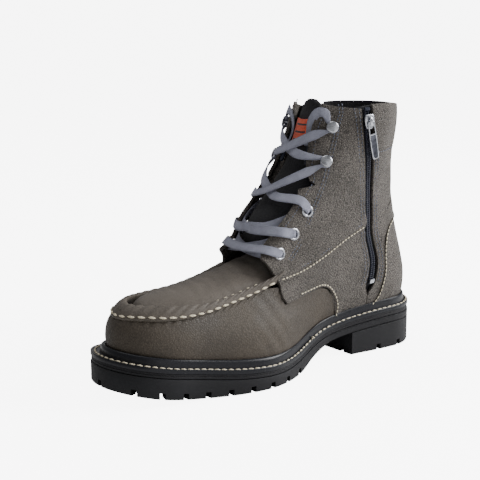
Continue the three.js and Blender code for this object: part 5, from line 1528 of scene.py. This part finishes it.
def build_threads():
    """The cream and the dark topstitching."""
    cream = stitches("cream_topstitching", cream_rows())
    dark_rows = []
    dark = lambda edge, out, **more: dark_rows.append(stitch_row(edge, 2.9, out, width=0.8, high=0.6, **more))
    for shift in (-6.6, -9.8, 6.6, 9.8):
        low, high = (58 if abs(shift) < 8 else 57), 201
        dark(seam(stretch(zip_side(shift), low, high, 12), 1), 0.55)
    stay_row = [(61.1, 204.6), (60.4, 195.8), (58.9, 191.9), (55.1, 179.4), (46.4, 157.6), (37.6, 138.9), (27.5, 120.3),
                (15, 98.3), (4, 86.6)]
    inset = [(y + 3.4, z - 2.0 * (z < 141)) for y, z in STAY[3:5] + STAY[8:]]
    for side in (1, -1):
        dark(seam(stay_row, side), 0.65)
        dark(seam(stay_row, side), 0.65, shift=2.6)
        dark(seam(inset, side, corners=True), 0.6, start=0.02, end=0.97)
        dark(seam([(y, z + 5.4) for y, z in CREAM], side), 0.75, start=0.05, end=0.97)
    back = lambda s: np.stack([place(86, 165.4, 1)[0] * (1 - 2 * s), 131.5 + 0 * s], -1)
    dark(back, 0.75, start=0.02, end=0.98)
    return cream, stitches("dark_topstitching", dark_rows)


def build_welt_thread():
    """Cream lock stitches sunk in the welt's groove, one knot at the waist."""
    a = np.linspace(0.2, TURN - 0.2, 1400)
    wide, b, point = welt_plan(a)
    p = point(wide * 0.5 + b * 0.5 + 0.4, 0.05)
    tangent, _, up = frames_along(p, np.broadcast_to((0.0, 0, 1), p.shape))
    run = run_length(p)
    at, step, pick = evenly(run, WELT_PITCH)
    row = (pick(p), unit(pick(tangent)), unit(pick(up)), step * 0.8, 1.5, 1.2)
    knot = int(np.argmin(np.abs(at - np.interp(sole_angle(24), a, run))))
    extra = (row[0][knot:knot + 1] + (0, 0, 0.6), unit(np.cross(row[1], row[2]))[knot:knot + 1], row[2][knot:knot + 1], 3.2, 1.9, 1.6)
    return stitches("welt_thread", [row, extra], rings=6)


# ---------------------------------------------------------------- settings
def tone(red, green, blue):
    """A display colour (0 to 255 each) as the linear values shaders take."""
    v = np.array([red, green, blue]) / 255
    return tuple(float(x) for x in np.where(v < 0.04045, v / 12.92, ((v + 0.055) / 1.055) ** 2.4))


def colour(label, about, *values):
    """A colour setting."""
    return bpy.props.FloatVectorProperty(name=label, description=about, subtype="COLOR", size=3,
                                         min=0, max=1, default=tone(*values))


def length(label, about, value):
    """A length setting."""
    return bpy.props.FloatProperty(name=label, description=about, unit="LENGTH", subtype="DISTANCE",
                                   default=value, min=value * 0.3, max=value * 3, precision=4)


class BootSizes(bpy.types.PropertyGroup):
    lug_depth: length("Lug depth", "Depth of the notches round the tread", 0.0045)
    lug_gap: length("Notch width", "Width of each notch round the tread", 0.0034)
    lug_count: bpy.props.IntProperty(name="Side notches", description="Notches along one side of the front sole",
                                     default=9, min=2, max=20, subtype="UNSIGNED")
    heel_count: bpy.props.IntProperty(name="Heel notches", description="Notches round the heel",
                                      default=9, min=2, max=16, subtype="UNSIGNED")
    grain_depth: length("Grain depth", "Height of the leather's pebbles", 0.00042)
    lace_width: length("Lace width", "Width of the flat lace where it lies free", 0.0076)
    floor_size: bpy.props.FloatProperty(name="Floor size", description="Side of the square floor", unit="LENGTH",
                                        subtype="DISTANCE", default=120.0, min=2, max=400)


class BootColours(bpy.types.PropertyGroup):
    # Painted shade and highlight: the shaft's dark tone is shade painted in the creases between the pebbles; its rubbed
    # tone is partly highlight painted on the pebbles, partly rubbed patches.
    leather_dark: colour("Leather creases", "Between the pebbles of the shaft leather", 20, 18, 17)
    leather_middle: colour("Leather", "Body of the shaft leather", 66, 60, 53)
    leather_light: colour("Leather rubbed", "Rubbed tops of the shaft leather", 104, 98, 92)
    # Painted shade and highlight: the vamp's dark tone is shade painted in the creases of the vamp, apron and rib; its
    # rubbed tone is partly highlight painted on the pebbles, partly rubbed patches.
    vamp_dark: colour("Vamp creases", "Between the pebbles of the vamp", 30, 26, 22)
    vamp_middle: colour("Vamp", "Body of the vamp leather", 56, 49, 41)
    vamp_light: colour("Vamp rubbed", "Rubbed tops of the vamp leather", 74, 66, 56)
    # Painted highlight: the apron's rubbed tone, on the apron and the rib, is partly highlight painted on the pebbles,
    # partly rubbed patches.
    apron_light: colour("Apron rubbed", "Rubbed tops of the apron leather", 96, 89, 81)
    apron_middle: colour("Apron", "Body of the apron leather", 72, 65, 57)
    rubber: colour("Sole", "Moulded rubber of the sole", 12, 12, 16)
    rubber_dust: colour("Sole dust", "Dust on the sole's rubber", 30, 30, 35)
    welt: colour("Welt", "Polished rubber of the welt", 13, 15, 22)
    cream: colour("Cream thread", "Moc, welt and lap stitches", 236, 226, 200)
    cream_dark: colour("Cream thread, shaded", "Between the plies of the cream thread", 170, 156, 126)
    slate: colour("Dark thread", "Stitches beside the zipper and eyestay", 98, 104, 122)
    slate_dark: colour("Dark thread, shaded", "Between the plies of the dark thread", 30, 32, 42)
    lace: colour("Lace", "Raised threads of the lace", 186, 188, 206)
    lace_dark: colour("Lace, shaded", "Between the threads of the lace", 126, 128, 144)
    nickel: colour("Nickel", "Eyelets, hooks, slider and pull", 190, 192, 198)
    nickel_dark: colour("Nickel, dull", "Where the plating is dull", 120, 122, 128)
    gunmetal: colour("Gunmetal", "Plate of the zipper's pull", 84, 86, 94)
    coil: colour("Coil", "The zipper's teeth", 40, 44, 58)
    cloth: colour("Lining", "Lining, tongue and tapes", 9, 9, 11)
    cloth_light: colour("Lining, light", "Threads that catch the light on the lining", 26, 26, 30)
    label: colour("Label", "Field of the tongue's label", 226, 78, 34)


def colours():
    """The scene's colour settings."""
    return bpy.context.scene.boot_colours


def rgba(name):
    """One of those colours, opaque."""
    return (*getattr(colours(), name), 1.0)


def grain_mm():
    """Height of the leather's pebbles, in millimetres."""
    return bpy.context.scene.boot_sizes.grain_depth / MM


MAKERS = {
    "shaft leather": lambda n: leather(n, [rgba("leather_dark"), rgba("leather_middle"), rgba("leather_light")],
                                       620.0, 1.0, 0.3, grain_mm(), 0.35, 0.52),
    "vamp leather": lambda n: leather(n, [rgba("vamp_dark"), rgba("vamp_middle"), rgba("vamp_light")],
                                      560.0, 0.45, 0.35, grain_mm() * 0.6, 0.6, 0.5),
    "apron leather": lambda n: leather(n, [rgba("vamp_dark"), rgba("apron_middle"), rgba("apron_light")],
                                       700.0, 0.3, 0.4, grain_mm() * 0.5, 0.7, 0.5),
    "rib leather": lambda n: leather(n, [rgba("vamp_dark"), rgba("apron_middle"), rgba("apron_light")],
                                     800.0, 0.35, 0.4, grain_mm() * 0.4, 0.8, 0.5),
    "sole rubber": lambda n: rubber(n, rgba("rubber"), rgba("rubber_dust"), 0.55, 0.06),
    "welt rubber": lambda n: rubber(n, rgba("welt"), rgba("rubber_dust"), 0.3, 0.03),
    "cream thread": lambda n: thread(n, rgba("cream"), rgba("cream_dark")),
    "dark thread": lambda n: thread(n, rgba("slate"), rgba("slate_dark")),
    "lace weave": lambda n: woven(n, rgba("lace_dark"), rgba("lace"), 14.0, 9.0, 0.25),
    "webbing": lambda n: woven(n, rgba("cloth"), rgba("cloth_light"), 26.0, 30.0, 0.2),
    "mesh lining": lambda n: mesh_cloth(n, rgba("cloth"), rgba("cloth_light"), 620.0, 0.2),
    "tape cloth": lambda n: mesh_cloth(n, rgba("cloth"), rgba("cloth_light"), 1500.0, 0.08),
    "nickel plate": lambda n: metal(n, rgba("nickel"), rgba("nickel_dark"), 0.24),
    "gunmetal": lambda n: metal(n, rgba("gunmetal"), rgba("rubber"), 0.3),
    "coil polymer": lambda n: rubber(n, rgba("coil"), rgba("rubber_dust"), 0.3, 0.02),
    "aglet film": lambda n: rubber(n, rgba("coil"), rgba("rubber_dust"), 0.22, 0.02),
    "label weave": lambda n: label_cloth(n, rgba("label"), rgba("cloth")),
    "pressed board": lambda n: board(n, rgba("cream_dark"), rgba("leather_dark"), 900.0),
    "cork": lambda n: board(n, rgba("apron_middle"), rgba("leather_dark"), 500.0),
    "steel": lambda n: metal(n, rgba("nickel_dark"), rgba("rubber"), 0.4),
    "footbed cloth": lambda n: mesh_cloth(n, rgba("cloth"), rgba("cloth_light"), 500.0, 0.3),
}


def finish_of(name):
    """The named material, made the first time it is asked for."""
    return bpy.data.materials.get(name) or MAKERS[name](name)


def settle(obj, finish, slot, *stands_for, body="boot"):
    """Gives a finished piece its material, body and the frame nodes it stands for; the slot is not used."""
    obj.data.materials.clear()
    obj.data.materials.append(finish_of(finish))
    if stands_for:
        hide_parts(*stands_for)
    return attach(obj, body)


# ---------------------------------------------------------------- operators
class BOOT_OT_sole(bpy.types.Operator):
    """Outsole and heel with notched lugs, and the layer over them"""
    bl_idname = "boot.sole"
    bl_label = "Sole"

    def execute(self, context):
        sizes = context.scene.boot_sizes
        depth, gap = sizes.lug_depth / MM, sizes.lug_gap / MM
        settle(build_outsole(depth, gap, sizes.lug_count), "sole rubber", "rubber", "outsole")
        settle(build_heel(depth, gap, sizes.heel_count), "sole rubber", "rubber", "heel_block")
        settle(sharp(carried("midsole_layer", midsole_section, 500), 40), "sole rubber", "welt_rubber", "midsole")
        return {"FINISHED"}


class BOOT_OT_welt(bpy.types.Operator):
    """Storm welt with its bead, and the lock stitches in its groove"""
    bl_idname = "boot.welt"
    bl_label = "Welt"

    def execute(self, context):
        settle(sharp(carried("welt_strip", welt_section, 600), 50), "welt rubber", "welt_rubber", "welt")
        settle(build_welt_thread(), "cream thread", "thread", "welt_stitching")
        return {"FINISHED"}


class BOOT_OT_vamp(bpy.types.Operator):
    """Vamp leather round the toe"""
    bl_idname = "boot.vamp"
    bl_label = "Vamp"

    def execute(self, context):
        settle(build_vamp(), "vamp leather", "leather", "vamp")
        return {"FINISHED"}


class BOOT_OT_moc_seam(bpy.types.Operator):
    """Raised rib of the moc seam and the stitches on both of its sides"""
    bl_idname = "boot.moc_seam"
    bl_label = "Moc seam"

    def execute(self, context):
        settle(build_rib(), "rib leather", "leather", "moc_rib")
        settle(stitches("moc_threads", moc_stitch_rows(), sides=8, rings=6), "cream thread", "thread", "moc_stitching")
        return {"FINISHED"}


class BOOT_OT_apron(bpy.types.Operator):
    """Apron leather over the toes, creased toward the throat"""
    bl_idname = "boot.apron"
    bl_label = "Apron"

    def execute(self, context):
        apron, backing = build_apron()
        settle(apron, "apron leather", "apron_leather", "apron")
        settle(backing, "mesh lining", "textile", "apron_lining")
        return {"FINISHED"}


class BOOT_OT_quarters(bpy.types.Operator):
    """Quarters, counter, heel quarter, shaft back and padded collar"""
    bl_idname = "boot.quarters"
    bl_label = "Quarters and back"

    def execute(self, context):
        pieces = build_quarters()
        backs, high, collar_low, collar_side, edge = build_backs()
        pieces += backs + build_outer_quarters(high, collar_low, collar_side, edge)
        for obj, stands_for in pieces:
            settle(obj, "shaft leather", "leather", stands_for)
        return {"FINISHED"}


class BOOT_OT_topstitching(bpy.types.Operator):
    """Cream and dark rows of stitches along the upper's seams"""
    bl_idname = "boot.topstitching"
    bl_label = "Topstitching"

    def execute(self, context):
        cream, dark = build_threads()
        settle(cream, "cream thread", "thread")
        settle(dark, "dark thread", "thread")
        return {"FINISHED"}


class BOOT_OT_zipper(bpy.types.Operator):
    """Zipper tapes, coil, stops, slider and pull"""
    bl_idname = "boot.zipper"
    bl_label = "Zipper"

    def execute(self, context):
        front, rear, teeth, stops = build_zip()
        settle(front, "tape cloth", "textile", "zip_tape_front")
        settle(rear, "tape cloth", "textile", "zip_tape_rear")
        for obj, stands_for in zip(teeth, ("zip_coil_front", "zip_coil_rear")):
            settle(obj, "coil polymer", "coil", stands_for)
        settle(stops[0], "nickel plate", "nickel", "zip_bottom_stop")
        settle(stops[1], "coil polymer", "nickel", "zip_top_stop")
        settle(sharp(build_slider(), 45), "nickel plate", "nickel", "zip_slider", body="slider")
        rim, plate = build_pull()
        settle(sharp(rim, 45), "nickel plate", "nickel", "zip_pull", body="pull")
        settle(sharp(plate, 45), "gunmetal", "nickel", body="pull")
        return {"FINISHED"}


class BOOT_OT_lacing_metal(bpy.types.Operator):
    """Eyelets and domed lace hooks"""
    bl_idname = "boot.lacing_metal"
    bl_label = "Eyelets and hooks"

    def execute(self, context):
        for side, word in ((1, "inner"), (-1, "outer")):
            for i, (y, z) in enumerate(EYELETS, 1):
                name = f"eyelet_{word}_{i}"
                settle(lathe(name + "_ring", EYELET_PROFILE, y, z, side, ring=True), "nickel plate", "nickel", name)
            for i, (y, z) in enumerate(HOOKS, 1):
                name = f"lace_hook_{word}_{i}"
                settle(lathe(name + "_disc", HOOK_PROFILE, y, z, side), "nickel plate", "nickel", name)
        return {"FINISHED"}


class BOOT_OT_lace(bpy.types.Operator):
    """Flat lace through the eyelets and round the hooks, with its tips"""
    bl_idname = "boot.lace"
    bl_label = "Lace"

    def execute(self, context):
        lace, tips = build_lace(context.scene.boot_sizes.lace_width / MM / 2)
        settle(lace, "lace weave", "lace", "lace")
        for obj, stands_for in zip(tips, ("aglet_inner", "aglet_outer")):
            settle(obj, "aglet film", "aglet", stands_for)
        return {"FINISHED"}


class BOOT_OT_tongue(bpy.types.Operator):
    """Padded tongue and its woven label"""
    bl_idname = "boot.tongue"
    bl_label = "Tongue"

    def execute(self, context):
        pad, label = build_tongue()
        settle(pad, "mesh lining", "textile", "tongue")
        settle(label, "label weave", "label", "tongue_label")
        return {"FINISHED"}


class BOOT_OT_lining(bpy.types.Operator):
    """Shaft lining, heel strap and pull tab"""
    bl_idname = "boot.lining"
    bl_label = "Lining and webbing"

    def execute(self, context):
        settle(build_linings(), "mesh lining", "textile", "lining_shaft")
        strap, tab = build_webbing()
        settle(strap, "webbing", "textile", "back_strap")
        settle(tab, "webbing", "textile", "pull_tab")
        return {"FINISHED"}


class BOOT_OT_inside(bpy.types.Operator):
    """Finishes for the parts inside the boot that keep the frame's shapes"""
    bl_idname = "boot.inside"
    bl_label = "Inside parts"

    def execute(self, context):
        finishes = {"insole_board": "pressed board", "counter_stiffener": "pressed board", "toe_puff": "pressed board",
                    "cork_filler": "cork", "shank": "steel", "collar_foam": "mesh lining",
                    "lining_foot": "mesh lining", "footbed": "footbed cloth"}
        for name, finish in finishes.items():
            obj = bpy.data.objects[name]
            obj.data.materials.clear()
            obj.data.materials.append(finish_of(finish))
        return {"FINISHED"}


class BOOT_OT_stage(bpy.types.Operator):
    """Pale floor, soft lights and the camera"""
    bl_idname = "boot.stage"
    bl_label = "Stage"

    def execute(self, context):
        build_stage(context.scene)
        return {"FINISHED"}


ROOM_LIGHT = 0.32
PAPER_GLOW = 7.0        # white paper seen through the camera, beyond what lights the boot


def build_stage(scene):
    """Floor, lights and camera."""
    half = scene.boot_sizes.floor_size / 2
    mesh = bpy.data.meshes.new("floor")
    mesh.from_pydata([(-half, -half, 0), (half, -half, 0), (half, half, 0), (-half, half, 0)], [], [(0, 1, 2, 3)])
    floor = bpy.data.objects.new("floor", mesh)
    scene.collection.objects.link(floor)
    paint, tree, shader, where = material("floor paint", Roughness=0.6)
    mix = blend_colours(tree, fit(tree, noise(tree, where, 8.0), 0.3, 0.7), (0.86, 0.86, 0.86, 1), (0.88, 0.88, 0.88, 1))
    tree.links.new(mix, shader.inputs["Base Color"])
    rays = node(tree, "ShaderNodeLightPath")
    tree.links.new(maths(tree, "MULTIPLY", rays.outputs["Is Camera Ray"], PAPER_GLOW), shader.inputs["Emission Strength"])
    shader.inputs["Emission Color"].default_value = (1, 1, 1, 1)
    mesh.materials.append(paint)
    world = bpy.data.worlds.new("soft room")
    scene.world = world
    world.use_nodes = True
    sky = world.node_tree.nodes["Background"]
    rays = world.node_tree.nodes.new("ShaderNodeLightPath")
    seen = maths(world.node_tree, "MULTIPLY", rays.outputs["Is Camera Ray"], PAPER_GLOW)
    world.node_tree.links.new(maths(world.node_tree, "ADD", seen, ROOM_LIGHT), sky.inputs["Strength"])
    sky.inputs["Color"].default_value = (1, 1, 1, 1)
    target = Vector((-19.5, -6.9, 97.4)) * MM

    def lamp(name, place_mm, size, power):
        light = bpy.data.lights.new(name, "AREA")
        light.shape, light.size, light.energy = "SQUARE", size, power
        obj = bpy.data.objects.new(name, light)
        obj.location = Vector(place_mm) * MM
        obj.rotation_euler = (target - obj.location).to_track_quat("-Z", "Y").to_euler()
        scene.collection.objects.link(obj)
    lamp("key", (760, 1150, 850), 0.9, 40)
    lamp("fill", (1500, -100, 500), 1.0, 2.5)
    lamp("top", (-300, 0, 1500), 1.0, 7)
    az, el = np.radians(52.49), np.radians(11.5)
    back = Vector((np.sin(az) * np.cos(el), -np.cos(az) * np.cos(el), np.sin(el)))
    eye = bpy.data.cameras.new("camera")
    eye.lens, eye.sensor_width = 86.6, 36.0
    camera = bpy.data.objects.new("camera", eye)
    camera.location = target + back * 0.9136
    camera.rotation_euler = (back.to_track_quat("Z", "Y").to_matrix().to_4x4()
                             @ Matrix.Rotation(np.radians(-0.14), 4, "Z")).to_euler()
    scene.collection.objects.link(camera)
    scene.camera = camera


OPERATORS = (BOOT_OT_sole, BOOT_OT_welt, BOOT_OT_vamp, BOOT_OT_moc_seam, BOOT_OT_apron, BOOT_OT_quarters,
             BOOT_OT_topstitching, BOOT_OT_zipper, BOOT_OT_lacing_metal, BOOT_OT_lace, BOOT_OT_tongue,
             BOOT_OT_lining, BOOT_OT_inside, BOOT_OT_stage)


class BOOT_PT_builder(bpy.types.Panel):
    """Buttons for every piece of the boot, in the order they are built"""
    bl_idname = "BOOT_PT_builder"
    bl_label = "Work boot"
    bl_space_type = "VIEW_3D"
    bl_region_type = "UI"
    bl_category = "Boot"

    def draw(self, context):
        column = self.layout.column(align=True)
        for operator in OPERATORS:
            column.operator(operator.bl_idname)


CLASSES = (BootSizes, BootColours, *OPERATORS, BOOT_PT_builder)


def register():
    """Adds the settings, operators and panel."""
    for cls in CLASSES:
        bpy.utils.register_class(cls)
    bpy.types.Scene.boot_sizes = bpy.props.PointerProperty(type=BootSizes)
    bpy.types.Scene.boot_colours = bpy.props.PointerProperty(type=BootColours)


def unregister():
    """Takes them away."""
    del bpy.types.Scene.boot_colours, bpy.types.Scene.boot_sizes
    for cls in reversed(CLASSES):
        bpy.utils.unregister_class(cls)


def main():
    """Runs every operator in order."""
    register()
    for operator in OPERATORS:
        group, name = operator.bl_idname.split(".")
        getattr(getattr(bpy.ops, group), name)()


if __name__ == "__main__":
    main()
